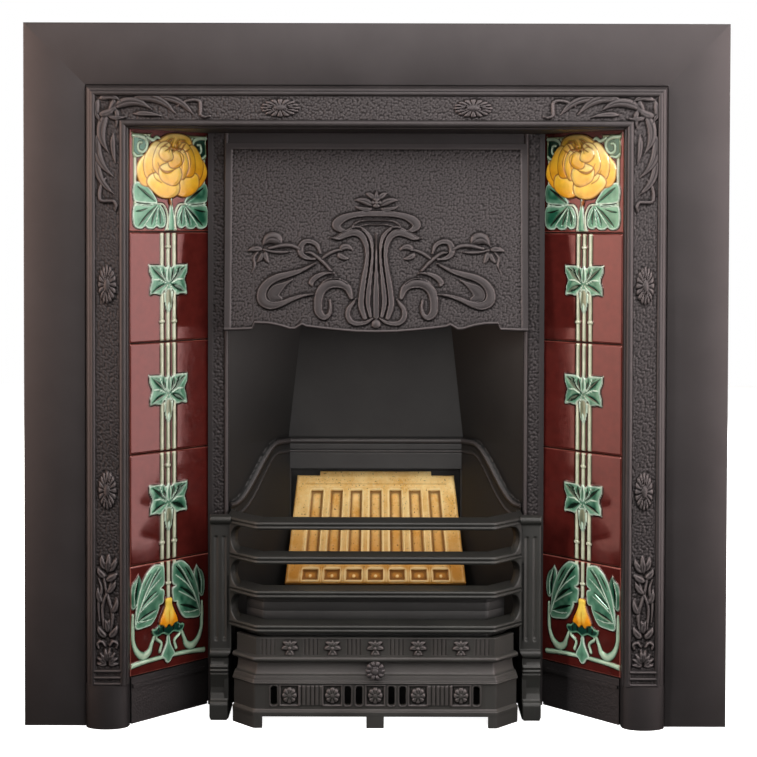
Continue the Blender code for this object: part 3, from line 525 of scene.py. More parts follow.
def blend(first, second, share):
    # each is the name of a tone, or an array of colours
    first, second = (glazeTones[tone] if isinstance(tone, str) else tone for tone in (first, second))
    return first + (second - first) * np.clip(share, 0, 1)[:, None]


def cheekPlace(side):
    outer, inner = (Vector(cheekDrawing[end]) for end in ("outer", "inner"))
    along = (inner - outer).normalized()
    out = Vector((-along.y, along.x))

    def place(u, v, h):
        return inPlace(side * (outer.x + along.x * u + out.x * h), outer.y + along.y * u + out.y * h, v)
    return place


class Painting:
    # heights and colours of a tile's face while its ornament is laid on
    def __init__(self, u, v):
        self.u, self.v = u * cheekDrawing["field"] / cheekDrawing["shown"], v
        self.height = 0.05 * drift(u, v, 40.0, 2)
        self.colour = np.tile(glazeTones["oxblood"], (len(u), 1))

    def lay(self, cover, height, colour):
        cover = np.clip(cover, 0, 1)
        self.height = self.height * (1 - cover) + height * cover
        self.colour = blend(self.colour, colour, cover)

    def near(self, low, high):
        return (self.v > low).any() and (self.v < high).any()


def paintRod(tile, line, height, tones=("stem", "stemShade")):
    depth, half, _ = inside(tile.u, tile.v, line)
    if depth.max() < -1:
        return
    colour = blend(tones[1], tones[0], depth / (half * 0.55))
    tile.lay(step(depth, -0.5, 0.5), height * (0.35 + 0.65 * swell(depth, half)), colour)


def paintLeaf(tile, root, tip, half, height):
    depth, width, along = inside(tile.u, tile.v, leafLine(root, tip, half), 4)
    if depth.max() < -1:
        return
    colour = blend("leafRim", "leaf", step(depth, 0.8, 3.0))
    deep = 0.25 * step(depth, 1.4, half * 0.9) + 0.25 * drift(tile.u, tile.v, 9.0, 4)
    colour = blend(colour, "leafDeep", deep)
    groove = (1 - step(width - depth, 0.5, 1.62)) * step(along, 0.0, 0.1) * (1 - step(along, 0.8, 0.97))
    colour = blend(colour, "vein", groove * 0.95)
    rim = 0.35 * (1 - step(depth, 0.9, 2.2))
    tile.lay(step(depth, -0.5, 0.5), height * (0.55 + 0.45 * swell(depth, half * 0.8)) + rim - 0.9 * groove, colour)


def paintPetal(tile, centre, radii, turn, height, tone):
    # a rounded petal with a brown line at its lip and gold deepening to its root
    a = math.radians(turn)
    x, y = tile.u - centre[0], tile.v - centre[1]
    p, q = (x * math.cos(a) + y * math.sin(a)) / radii[0], (y * math.cos(a) - x * math.sin(a)) / radii[1]
    angle = np.arctan2(q, p)
    reach = 1 + 0.035 * np.sin(3 * angle + centre[0]) + 0.02 * np.sin(5 * angle + centre[1])
    depth = (reach - np.hypot(p, q)) * min(radii)
    colour = blend("petalLight", "petal", 0.35 + 0.65 * step(depth, 1.0, 6.0) + tone)
    colour = blend(colour, "petalDeep", step(-q, -0.2, 0.9) * 0.55 + np.maximum(tone, 0) * 0.5)
    colour = blend(colour, "petalLight", step(q - 0.4 * p, 0.0, 0.9) * (0.6 - 0.5 * tone))
    colour = blend(colour, "petalLine", (1 - step(depth, 0.8, 2.0)) * 0.85)
    tile.lay(step(depth, -0.5, 0.5), height + 0.9 * swell(depth, 5.0), colour)


def outlineDepth(u, v, corners):
    # how far each point is inside a smooth closed outline, in mm, and negative outside it; a doubled corner is sharp
    p = np.array(corners, float)
    path = np.vstack([curveRun(*four, 4) for four in zip(*(np.roll(p, turn, 0) for turn in (1, 0, -1, -2)))])
    low, high = path.min(axis=0) - 2, path.max(axis=0) + 2
    near = (u > low[0]) & (u < high[0]) & (v > low[1]) & (v < high[1])
    depth = np.full(u.shape, -99.0)
    x, y = u[near], v[near]
    gap = np.full(x.shape, 99.0)
    crossings = np.zeros(x.shape, int)
    for a, b in zip(path, np.roll(path, -1, 0)):
        gap = np.minimum(gap, alongRun(x, y, a, b)[1])
        if a[1] != b[1]:
            crossings += ((a[1] > y) != (b[1] > y)) & (x < a[0] + (b[0] - a[0]) * (y - a[1]) / (b[1] - a[1]))
    depth[near] = np.where(crossings % 2 == 1, gap, -gap)
    return depth


def paintShape(tile, outline, height, tones=("leafRim", "leaf", "leafDeep"), shade=0.0):
    # a broad modelled leaf: pale rim, green body, deeper towards its middle
    depth = outlineDepth(tile.u, tile.v, outline)
    colour = blend(tones[0], tones[1], step(depth, 1.0, 3.0))
    deep = step(depth, 3.0, 10.0) * 0.55 + 0.3 * drift(tile.u, tile.v, 8.0, 4) + shade
    colour = blend(colour, tones[2], deep)
    rim = 1 - step(depth, 1.0, 2.4)
    tile.lay(step(depth, -0.5, 0.5), height * (0.6 + 0.4 * swell(depth, 8.0)) + 0.5 * rim, colour)


def paintVein(tile, line):
    depth, _, _ = inside(tile.u, tile.v, line)
    cover = step(depth, -0.6, 0.7)
    tile.height = tile.height - 0.9 * cover
    tile.colour = blend(tile.colour, "vein", cover * 0.95)


def paintFoliage(tile, drawing, middle, way, foot, heavy, height):
    # the dark veins of one side and the pale ribs between them
    for line in drawing["veins"]:
        paintVein(tile, laid(line, middle, way, foot, heavy))
    for line in drawing["ribs"]:
        paintRod(tile, laid(line, middle, way, foot), height, ("leafRim", "leaf"))


stemDrawing = {
    "middle": 72.0, "half": 3.5, "top": 730.0,
    # a joint's reach to each side, and its half widths at its ends and in its middle
    "joint": (3.4, 2.0, 3.2),
    # each stem: its place, its foot, the lean of its joints, and their heights
    "stems": ((60.0, 208.0, 1.0, (554.0, 244.0)), (72.0, 162.0, 0.0, (659.0, 352.0, 186.0)),
              (84.0, 208.0, 1.0, (554.0, 244.0))),
}


def paintStems(tile):
    reach, end, middle = stemDrawing["joint"]
    for u, foot, lean, joints in stemDrawing["stems"]:
        paintRod(tile, [(u, foot, stemDrawing["half"]), (u, stemDrawing["top"], stemDrawing["half"])], 1.7)
        for z in joints:
            paintRod(tile, [(u - reach, z, end), (u, z + lean, middle), (u + reach, z, end)], 2.3)


clusterDrawing = {
    # one side, about the middle stem and the cluster's own height
    "heights": (612.0, 458.0, 305.0), "reach": (-48.0, 28.0),
    "wing": [(0, 22), (5, 18), (11, 21), (24, 21.5), (37.5, 22), (37.5, 22), (37, 12), (32, 1.5), (35, -8),
             (36.5, -20), (36.5, -20), (26, -19), (15, -20), (8, -14)],
    "bud": [(0, -8), (6, -15), (7.5, -28), (5, -40), (0, -45), (-5, -40), (-7.5, -28), (-6, -15)],
    "veins": ([(6, -1, 0.8), (19, 9, 3.2), (32, 18, 0.8)], [(7, -6, 0.8), (19, -10.5, 2.8), (31, -16, 0.7)],
              [(5, 2, 0.8), (9, 9, 2.2), (9.5, 17, 0.7)], [(15, 14, 0.4), (20, 16, 1.2), (26, 19, 0.4)]),
    "ribs": ([(5, -4, 0.7), (17, 1, 1.1), (28, 1.5, 0.7)], [(5, -1, 0.6), (13, 8, 0.9), (17, 18, 0.6)],
             [(4, -8, 0.6), (9, -13, 0.9), (14, -18, 0.6)]),
    "tip": [(0, -32, 1.0), (0, -37, 2.6), (0, -42, 1.0)],
    "spur": [(2, -6, 0.8), (7, -16, 1.0), (8, -30, 0.8)],
}


def paintCluster(tile, z):
    # two pairs of broad wings across the stems, with a leaf above and a bud below
    below, above = clusterDrawing["reach"]
    if not tile.near(z + below, z + above):
        return
    middle, wing = stemDrawing["middle"], clusterDrawing["wing"]
    paintShape(tile, laid(clusterDrawing["bud"], middle, foot=z), 2.2, ("leafRim", "bud", "calyx"), 0.25)
    paintRod(tile, laid(clusterDrawing["tip"], middle, foot=z), 2.6, ("leafRim", "leaf"))
    paintShape(tile, laid(wing, middle, 1, z) + laid(wing[:0:-1], middle, -1, z), 2.2, shade=0.2)
    for way, heavy in ((-1, 0.8), (1, 1.35)):
        paintFoliage(tile, clusterDrawing, middle, way, z, heavy, 2.7)
        paintRod(tile, laid(clusterDrawing["spur"], middle, way, z), 2.8, ("leafRim", "bud"))
    paintLeaf(tile, (middle, z - 3), (middle, z + 21), 5.0, 2.9)


roseDrawing = {
    # each petal: centre, radii, turn, height, tone (below 0 is creamier)
    "petals": (((34, 765), (24, 25), -20, 1.5, -0.1), ((127, 764), (22, 22), 16, 1.5, 0.5),
               ((86, 802), (36, 16), 0, 1.7, 0.3), ((46, 777), (23, 29), -24, 2.0, -0.2),
               ((118, 776), (22, 27), 26, 2.0, 0.45), ((106, 746), (29, 17), 14, 2.2, 0.4),
               ((62, 745), (34, 18), -10, 2.4, -0.05), ((60, 781), (20, 26), -16, 2.7, -0.15),
               ((105, 780), (19, 26), 18, 2.7, 0.5), ((95, 776), (15, 23), 12, 3.0, 0.05),
               ((74, 761), (24, 17), -6, 3.2, -0.1), ((84, 781), (17, 13), 14, 3.5, 0.3),
               ((65, 788), (15, 11), -16, 3.8, -0.15)),
    "strokes": ((58, 797, 70, 804), (62, 792, 76, 800), (70, 790, 80, 808), (78, 790, 90, 803), (84, 796, 92, 810),
                (88, 791, 101, 801), (96, 796, 106, 805), (99, 791, 112, 797), (66, 805, 82, 811),
                (90, 807, 104, 808), (74, 797, 96, 795)),
    "lines": ([(49, 776, 0.7), (55, 767, 1.6), (64, 763, 2.0), (74, 764, 1.6), (84, 768, 0.7)],
              [(38, 766, 0.5), (44, 754, 1.0), (56, 748, 1.0)], [(92, 790, 0.5), (97, 778, 1.0), (95, 762, 0.5)],
              [(108, 792, 0.5), (114, 778, 1.0), (108, 762, 0.5)], [(72, 728, 0.6), (75, 721, 2.4), (77, 715, 0.6)]),
}


def paintRose(tile):
    for centre, radii, turn, height, tone in roseDrawing["petals"]:
        paintPetal(tile, centre, radii, turn, height, tone)
    # the furled heart is only brown strokes
    for i, (u, z, farU, farZ) in enumerate(roseDrawing["strokes"]):
        bend = 1.5 if i % 2 else -1.5
        stroke = [(u, z, 0.5), ((u + farU) / 2 + bend, (z + farZ) / 2, 1.5), (farU, farZ, 0.5)]
        depth, _, _ = inside(tile.u, tile.v, stroke)
        tile.lay(step(depth, -0.4, 0.6) * 0.85, 4.1, "petalLine")
    for line in roseDrawing["lines"]:
        depth, _, _ = inside(tile.u, tile.v, line)
        tile.lay(step(depth, -0.4, 0.6) * 0.85, 3.6, "petalLine")


topDrawing = {
    # one side of the foliage, mirrored about the middle; the corners and scrolls are about the field's edges
    "middle": 77.0, "edges": (4.0, 147.0), "rods": (8.0, 143.0), "rod": ((0, 690, 2.6), (0, 800, 3.0)),
    "corner": [(0, 784), (0, 815), (0, 815), (34, 815), (34, 815), (27, 794), (12, 784)],
    "scrolls": ([(0, 812, 2.2), (13, 812, 2.6), (24, 808, 2.6), (27, 798, 2.4), (19, 790, 2.2), (10, 793, 2.0),
                 (11, 802, 1.8), (17, 803, 1.6)], [(27, 811, 1.8), (38, 807, 2.8), (46, 811, 2.4), (54, 808, 1.4)],
                [(1, 788, 1.8), (8, 784, 2.0), (20, 786, 1.0)]),
    "upper": [(-27, 720), (-34, 732), (-48, 744), (-66, 749), (-73, 742), (-73, 728), (-68, 721), (-46, 719)],
    "lower": [(-27, 720), (-44, 717), (-67, 718), (-73, 712), (-74, 700), (-72, 689), (-66, 684.5), (-56, 684),
              (-50, 687), (-44, 684), (-34, 684), (-28, 687.5), (-22, 684.5), (-13, 687), (-10, 695), (-12, 706),
              (-18, 715)],
    "veins": ([(-29, 716, 0.6), (-46, 703, 1.8), (-62, 689, 0.8)],
              [(-27, 713, 0.6), (-34, 701, 1.7), (-38, 690, 0.7)],
              [(-24, 713, 0.6), (-21, 702, 1.6), (-21, 691, 0.6)],
              [(-31, 722, 0.6), (-47, 732, 1.8), (-64, 742, 0.7)],
              [(-46, 712, 0.4), (-58, 709, 1.0), (-68, 708, 0.5)]),
    "ribs": ([(-28, 715, 0.7), (-40, 702, 1.0), (-53, 688, 0.7)], [(-26, 713, 0.7), (-28, 700, 1.0), (-30, 689, 0.7)],
             [(-27, 719, 0.8), (-46, 717, 1.2), (-70, 719, 0.8)],
             [(-22, 712, 0.6), (-16, 702, 0.9), (-14, 692, 0.6)]),
    "stalk": [(-27, 719, 1.2), (-15, 717, 1.8), (-8, 706, 1.8), (-7, 694, 2.2), (-9, 680, 3.0)],
    "trumpet": [(0, 730), (3, 716), (6, 700), (7, 684), (5, 678), (-5, 678), (-7, 684), (-5, 700), (-3, 716)],
}


def paintTop(tile):
    # corner rods and scrolls, the leaves under the flower, then the flower over them
    middle = topDrawing["middle"]
    for u in topDrawing["rods"]:
        paintRod(tile, laid(topDrawing["rod"], u), 1.5)
    for way, edge in zip((1, -1), topDrawing["edges"]):
        paintShape(tile, laid(topDrawing["corner"], edge, way), 1.0, ("stemShade", "calyx", "vein"))
        for line in topDrawing["scrolls"]:
            paintRod(tile, laid(line, edge, way), 1.8, ("rootLight", "stemShade"))
    for way, shade, heavy in ((1, 0.0, 1.0), (-1, 0.3, 1.3)):
        for part in ("upper", "lower"):
            paintShape(tile, laid(topDrawing[part], middle, way), 2.1, shade=shade)
        paintFoliage(tile, topDrawing, middle, way, 0.0, heavy, 2.6)
    paintShape(tile, laid(topDrawing["trumpet"], middle), 2.6)
    for way in (-1, 1):
        paintRod(tile, laid(topDrawing["stalk"], middle, way), 2.8, ("stem", "leafRim"))
    paintRose(tile)


footDrawing = {
    # one side of the foliage: distance from the middle, and height
    "middle": 71.0,
    "leaf": [(11, 213), (26, 215), (38, 208), (45, 201), (52, 190), (59, 173), (63, 154), (65, 137), (62, 130),
             (55, 129), (44, 130), (33, 132), (24, 141), (18, 152), (17, 157), (17, 157), (10, 159), (8, 169),
             (8, 177), (14, 180.5), (14, 180.5), (8, 185), (7, 197), (8, 209)],
    "outer": [(57, 205), (57, 205), (52, 196), (51, 184), (56, 170), (66, 158), (72, 163), (73, 180), (69, 193),
              (62, 199)],
    "veins": ([(50, 170, 0.5), (34, 190, 2.4), (15, 208, 0.6)], [(54, 157, 0.5), (40, 168, 2.0), (24, 177, 0.6)],
              [(58, 141, 0.5), (42, 147, 2.0), (24, 152, 0.6)], [(62, 165, 0.5), (62, 182, 1.8), (58, 198, 0.5)],
              [(48, 184, 0.4), (42, 194, 1.2), (34, 204, 0.5)]),
    "ribs": ([(64, 134, 1.0), (56, 154, 1.6), (46, 174, 1.5), (30, 198, 1.0), (18, 211, 0.6)],
             [(56, 152, 0.7), (40, 162, 1.1), (20, 172, 0.6)], [(50, 166, 0.7), (34, 182, 1.1), (14, 196, 0.6)],
             [(60, 140, 0.7), (44, 139, 1.0), (30, 141, 0.6)], [(66, 163, 0.6), (66, 180, 0.9), (60, 198, 0.5)]),
    "root": [(68, 150, 2.0), (68, 132, 3.2), (67, 113, 3.2), (60, 98, 4.2), (48, 90, 5.6), (37, 94, 4.6),
             (32, 104, 3.0), (25, 118, 2.4)],
    "scroll": [(20, 119, 1.8), (23, 111, 2.2), (13, 103, 2.2), (16, 92, 2.6)],
    "base": [(72, 79.5, 3.6), (45, 82, 3.2), (8, 83, 2.8)],
    "calyx": [(0, 131), (8, 127), (15, 132), (22, 126), (31, 124), (29, 117), (20, 114), (10, 116), (0, 112)],
    "creases": ([(9, 118, 0.5), (10, 123, 1.2), (10, 127, 0.4)], [(19, 118, 0.5), (20, 123, 1.2), (20, 127, 0.4)]),
    "bell": [(0, 166), (7, 164), (7, 156), (11, 147), (16, 138), (18, 130), (11, 128), (6, 124), (0, 128)],
    "pedestal": [(0, 124), (2.5, 112), (5, 100), (11, 90), (13, 84), (7, 79), (4, 75), (0, 73)],
}


def bothSides(half, middle):
    # closes the drawing of one side with its mirror image
    return laid(half, middle) + laid([point for point in reversed(half) if point[0] > 0], middle, -1)


def paintBottom(tile):
    # two great lobed leaves beside the stems, over a bell-shaped flower on curling roots
    middle = footDrawing["middle"]
    for way, shade, heavy in ((-1, 0.0, 1.0), (1, 0.25, 1.35)):
        paintShape(tile, laid(footDrawing["outer"], middle, way), 1.8, shade=0.55)
        paintShape(tile, laid(footDrawing["leaf"], middle, way), 2.3, shade=shade)
        paintFoliage(tile, footDrawing, middle, way, 0.0, heavy, 2.9)
        for part in ("root", "scroll", "base"):
            paintRod(tile, laid(footDrawing[part], middle, way), 1.9, ("rootLight", "leaf"))
    paintShape(tile, bothSides(footDrawing["pedestal"], middle), 2.4)
    paintShape(tile, bothSides(footDrawing["calyx"], middle), 2.6, ("leaf", "calyx", "calyx"))
    for way in (-1, 1):
        for line in footDrawing["creases"]:
            paintVein(tile, laid(line, middle, way))
    depth = outlineDepth(tile.u, tile.v, bothSides(footDrawing["bell"], middle))
    aside = np.abs(tile.u - middle)
    colour = blend("bellLight", "bell", step(aside, 4.0, 14.0) + step(145 - tile.v, 0, 20))
    colour = blend(colour, "petalLine", 1 - step(depth, 0.3, 1.4))
    colour = blend(colour, "petalDeep", 0.7 * (1 - step(aside, 0.4, 1.6)) * step(150 - tile.v, 0, 6))
    tile.lay(step(depth, -0.5, 0.5), 3.0 + 1.3 * swell(depth, 7.0), colour)


def tileShape(level):
    size, edge = cheekDrawing["size"], cheekDrawing["edge"]
    low = cheekDrawing["bottom"] + level * cheekDrawing["pitch"] + (cheekDrawing["pitch"] - size) / 2
    ends = (cheekDrawing["start"], cheekDrawing["start"] + size)

    def shape(u, v):
        tile = Painting(u, v)
        if level < 4:
            paintStems(tile)
        for z in clusterDrawing["heights"]:
            paintCluster(tile, z)
        if level == 4:
            paintTop(tile)
        if level == 0:
            paintBottom(tile)
        rim = np.minimum(np.minimum(u - ends[0], ends[1] - u), np.minimum(v - low, low + size - v))
        fall = (1 - np.sqrt(1 - (1 - np.clip(rim / edge, 0, 1)) ** 2)) * edge
        colour = blend("edge", tile.colour, step(rim, 0.5, 1.5))
        return tile.height * step(rim, 0.0, 2.5) - fall, colour
    return ends, (low, low + size), shape


def buildTiles():
    for name, side in sides:
        for level in range(5):
            across, upward, shape = tileShape(level)
            pitch = cheekDrawing["grain"].get(level + 1, cheekDrawing["grain"]["plain"])
            tile = reliefSheet(f"tile_face_{name}_{level + 1}", cheekPlace(side), across, upward, (pitch, pitch),
                               shape, cheekDrawing["thick"], (glaze, "tile_glaze"), 60.0)
            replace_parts(tile, f"tile_{name}_{level + 1}")
    print("tiles painted")


buildTiles()


# Front plate: a flat border, a moulding, and a band of flowers on a pebbled ground between two beads

frameDrawing = {
    "half": 338.0, "top": 820.6, "ground": -11.8, "relief": (12.0, 43.7), "middle": 28.0, "grain": 1.05,
    "pebble": 3.3, "pebbleHeight": 0.8, "lipBack": 2.6,
    # the plinths, across from the opening's edge, and the ribs above them
    "plinthMiddle": 30.0, "plinthHalf": 29.2, "plinthHeight": 60.0, "plinthBulge": 16.0,
    "ribs": (61.5, 70.0, 79.0), "ribEnds": (10.0, 46.0),
    # one side of the header's plan
    "header": ((339.0, -5.0), (339.0, 2.6), (241.4, 99.2), (235.5, 105.0)), "headerThick": 6.0,
    # the plate that hangs behind the header: its half width, depths and foot
    "hanging": (210.9, (97.0, 102.0), 798.4),
    # the foliage at the foot of each band, and the flowers: two up each side and two along the top
    "foliageFoot": 88.0, "flowerHeights": (327.0, 608.0), "flowerAcross": 131.0, "flowerRadii": (13.0, 27.0),
}


def frameSection():
    # outward from the opening's edge, and depth
    rim = [(144.6, 18.0), *arcPoints((143.1, 1.5), (1.5, 1.5), 0, -90, 4), (61.0, 0.0), (60.2, 0.5), (59.6, 2.0),
           (58.9, 1.0)]
    mouldings = arcPoints((51.2, -1.0), (7.4, 9.9), 0, -90, 9) + arcPoints((47.7, -12.6), (3.9, 3.8), 20, -180, 12)
    ground = [(43.8, frameDrawing["ground"]), (12.0, frameDrawing["ground"])]
    innerBead = arcPoints((7.0, -12.0), (4.9, 4.3), 0, -180, 14) + [(1.6, -10.0), (0.0, -9.4)]
    back = [(0.0, frameDrawing["lipBack"]), (5.0, frameDrawing["lipBack"]), (5.0, -6.0), (48.0, -6.0), (56.0, 8.0),
            (136.6, 8.0), (136.6, 18.0)]
    return rim + mouldings + ground + innerBead + back


sprayDrawing = {
    # root, tip, half width, bend: distances along the band from the corner, and towards the outside
    "leaves": (((34, -9), (76, -12), 3.4, 0.05), ((62, 12), (118, -10), 5.0, 0.16), ((30, 10), (94, -9), 6.0, 0.18),
               ((4, -4), (62, -3), 6.4, 0.20), ((40, 13), (66, 12), 2.6, 0.1), ((0, -11), (28, -12), 3.2, -0.1),
               ((-13, -9), (14, 4), 5.0, -0.16), ((-12, 11), (20, 8), 4.6, 0.16)),
    "ridges": ([(96, 2, 1), (106, 8, 2.2), (118, 10.5, 2.6), (126, 8, 2.6), (127, -2, 2.4), (127, -9, 2.4),
                (133, -12.5, 2.2), (140, -11, 1)], [(76, 12, 0.8), (90, 10, 2.0), (102, 3, 2.0), (112, -5, 1)]),
    # lines from the foot of the band upwards
    "stems": ([(40, -3, 1.6), (68, -7, 2.4), (98, 1, 2.4), (126, 6, 1.6)],
              [(50, 5, 1.6), (80, 7, 2.4), (106, -3, 2.2), (122, -8, 1.2)],
              [(60, 11, 1.2), (84, 12, 2.6), (104, 8, 2.2), (118, 12, 1)]),
    "curls": ([(26, 3, 1.4), (32, 8, 2.4), (29, 13.5, 2.2), (23, 12, 1.4)],),
    "rays": (((0, 1), (1, 15), 2.6, 0.0), ((2, 1), (9, 14), 2.8, 0.0), ((3, 1), (16, 10), 2.8, 0.0),
             ((4, 0), (22, 3.4), 2.8, 0.0), ((38, 2), (53, 13), 4.4, -0.1), ((44, 0), (62, 4), 3.8, 0.1)),
    "fronds": (((70, -6), (92, -13), 3.6, 0.1), ((84, 7), (106, 13), 3.6, -0.1), ((98, 1), (116, -11), 3.6, 0.1),
               ((116, 2), (126, -13), 4.6, 0.1), ((120, 3), (133, 13), 4.4, -0.1), ((128, 0), (146, -12), 4.4, 0.1),
               ((130, 1), (150, 8), 4.2, -0.1), ((126, 0), (152, -2), 4.0, 0.0)),
}


def laySpray(face, at, turn):
    for line in sprayDrawing["ridges"]:
        face.ridge([(*at(s, t), half) for s, t, half in line], 3.6)
    for root, tip, half, bend in sprayDrawing["leaves"]:
        face.leaf(at(*root), at(*tip), half, bend * turn, 4.0)


def layFoot(face, at):
    for line in sprayDrawing["stems"]:
        face.ridge([(*at(s, t), half) for s, t, half in line], 3.2)
    for root, tip, half, bend in sprayDrawing["fronds"]:
        face.leaf(at(*root), at(*tip), half, bend, 4.0)
    for way in (-1, 1):
        for root, tip, half, bend in sprayDrawing["rays"]:
            face.leaf(at(root[0], way * root[1]), at(tip[0], way * tip[1]), half, bend * way, 4.0)
        for line in sprayDrawing["curls"]:
            face.ridge([(*at(s, way * t), half) for s, t, half in line], 4.2)


def frameRelief(across, height):
    x = np.abs(across)
    ground = frameDrawing["pebbleHeight"] * pebbled(across, height, frameDrawing["pebble"])
    face = Casting(x, height, ground)
    column, row = frameDrawing["half"] + frameDrawing["middle"], frameDrawing["top"] + frameDrawing["middle"]
    laySpray(face, lambda s, t: (column + t, row - s), 1)
    laySpray(face, lambda s, t: (column - s, row + t), -1)
    layFoot(face, lambda s, t: (column + t, frameDrawing["foliageFoot"] + s))
    radii = frameDrawing["flowerRadii"]
    for z in frameDrawing["flowerHeights"]:
        face.flower((column, z), radii, 16, 4.0, 0.34)
    face.flower((frameDrawing["flowerAcross"], row), radii[::-1], 16, 4.0, 0.34)
    return face.height


def buildFrame():
    half, top, relief = frameDrawing["half"], frameDrawing["top"], frameDrawing["relief"]
    plinth, section = frameDrawing["plinthHeight"], frameSection()
    bm = bmesh.new()
    # over the plinths the mouldings stand back, so that the plinths' swelling faces run smooth
    middle, width, bulge = (frameDrawing[key] for key in ("plinthMiddle", "plinthHalf", "plinthBulge"))
    plain = [(r, max(d, 1.5 - (bulge + 2.0) * math.sqrt(max(1 - ((r - middle) / width) ** 2, 0))))
             if r < 2 * middle else (r, d) for r, d in section]
    stations = [[spot(-half - r, d, z) for r, d in shape]
                for z, shape in ((0.0, plain), (plinth - 1.0, plain), (plinth, section))]
    corners = [[spot(side * (half + r), d, top + r) for r, d in section] for side in (-1, 1)]
    mirrored = [[Vector((-place.x, place.y, place.z)) for place in station] for station in reversed(stations)]
    sweep(bm, [*stations, *corners, *mirrored])
    right = frameDrawing["header"]
    sweep(bm, upright([*right, *((-x, d) for x, d in reversed(right))], top, top + frameDrawing["headerThick"]))
    reach, depths, foot = frameDrawing["hanging"]
    addBlock(bm, (-reach, reach), depths, (foot, top + 3.0))
    for side in (-1, 1):
        centre = side * (half + middle)
        face = arcPoints((centre, -2.0), (width, bulge), 0, -180, 24)
        sweep(bm, upright([(centre + width, 2.0), *face, (centre - width, 2.0)], 0.0, plinth))
        for rib in frameDrawing["ribs"]:
            outline = [(-8.0, rib - 3.0), *arcPoints((-12.5, rib), (4.3, 3.0), 270, 90, 8), (-8.0, rib + 3.0)]
            sweep(bm, crosswise(outline, *(side * (half + end) for end in frameDrawing["ribEnds"])))
    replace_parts(finishPiece(bm, "front_frame", plainIron), "front_plate")
    ground, grain = frameDrawing["ground"] - 0.1, frameDrawing["grain"]
    middle, look = frameDrawing["middle"], (carvedIron, "cast_iron")
    # the bands are mitred at the corners, so their ends run out with the distance from the opening
    for name, side in sides:
        reliefSheet(f"flower_band_{name}",
                    lambda u, v, h, side=side: inPlace(side * (half + u), ground - h, v * (top + u)),
                    relief, (0.0, 1.0), (grain, grain / (top + middle)),
                    lambda u, v: (frameRelief(half + u, v * (top + u)), None), 0.8, look)
    reliefSheet("flower_band_top", lambda u, v, h: inPlace(u * (half + v), ground - h, top + v),
                (-1.0, 1.0), relief, (grain / (half + middle), grain),
                lambda u, v: (frameRelief(u * (half + v), top + v), None), 0.8, look)
    print("front plate cast")


buildFrame()


# Hood: a leaning face with a tulip between looped ribbons, drawn for its right half

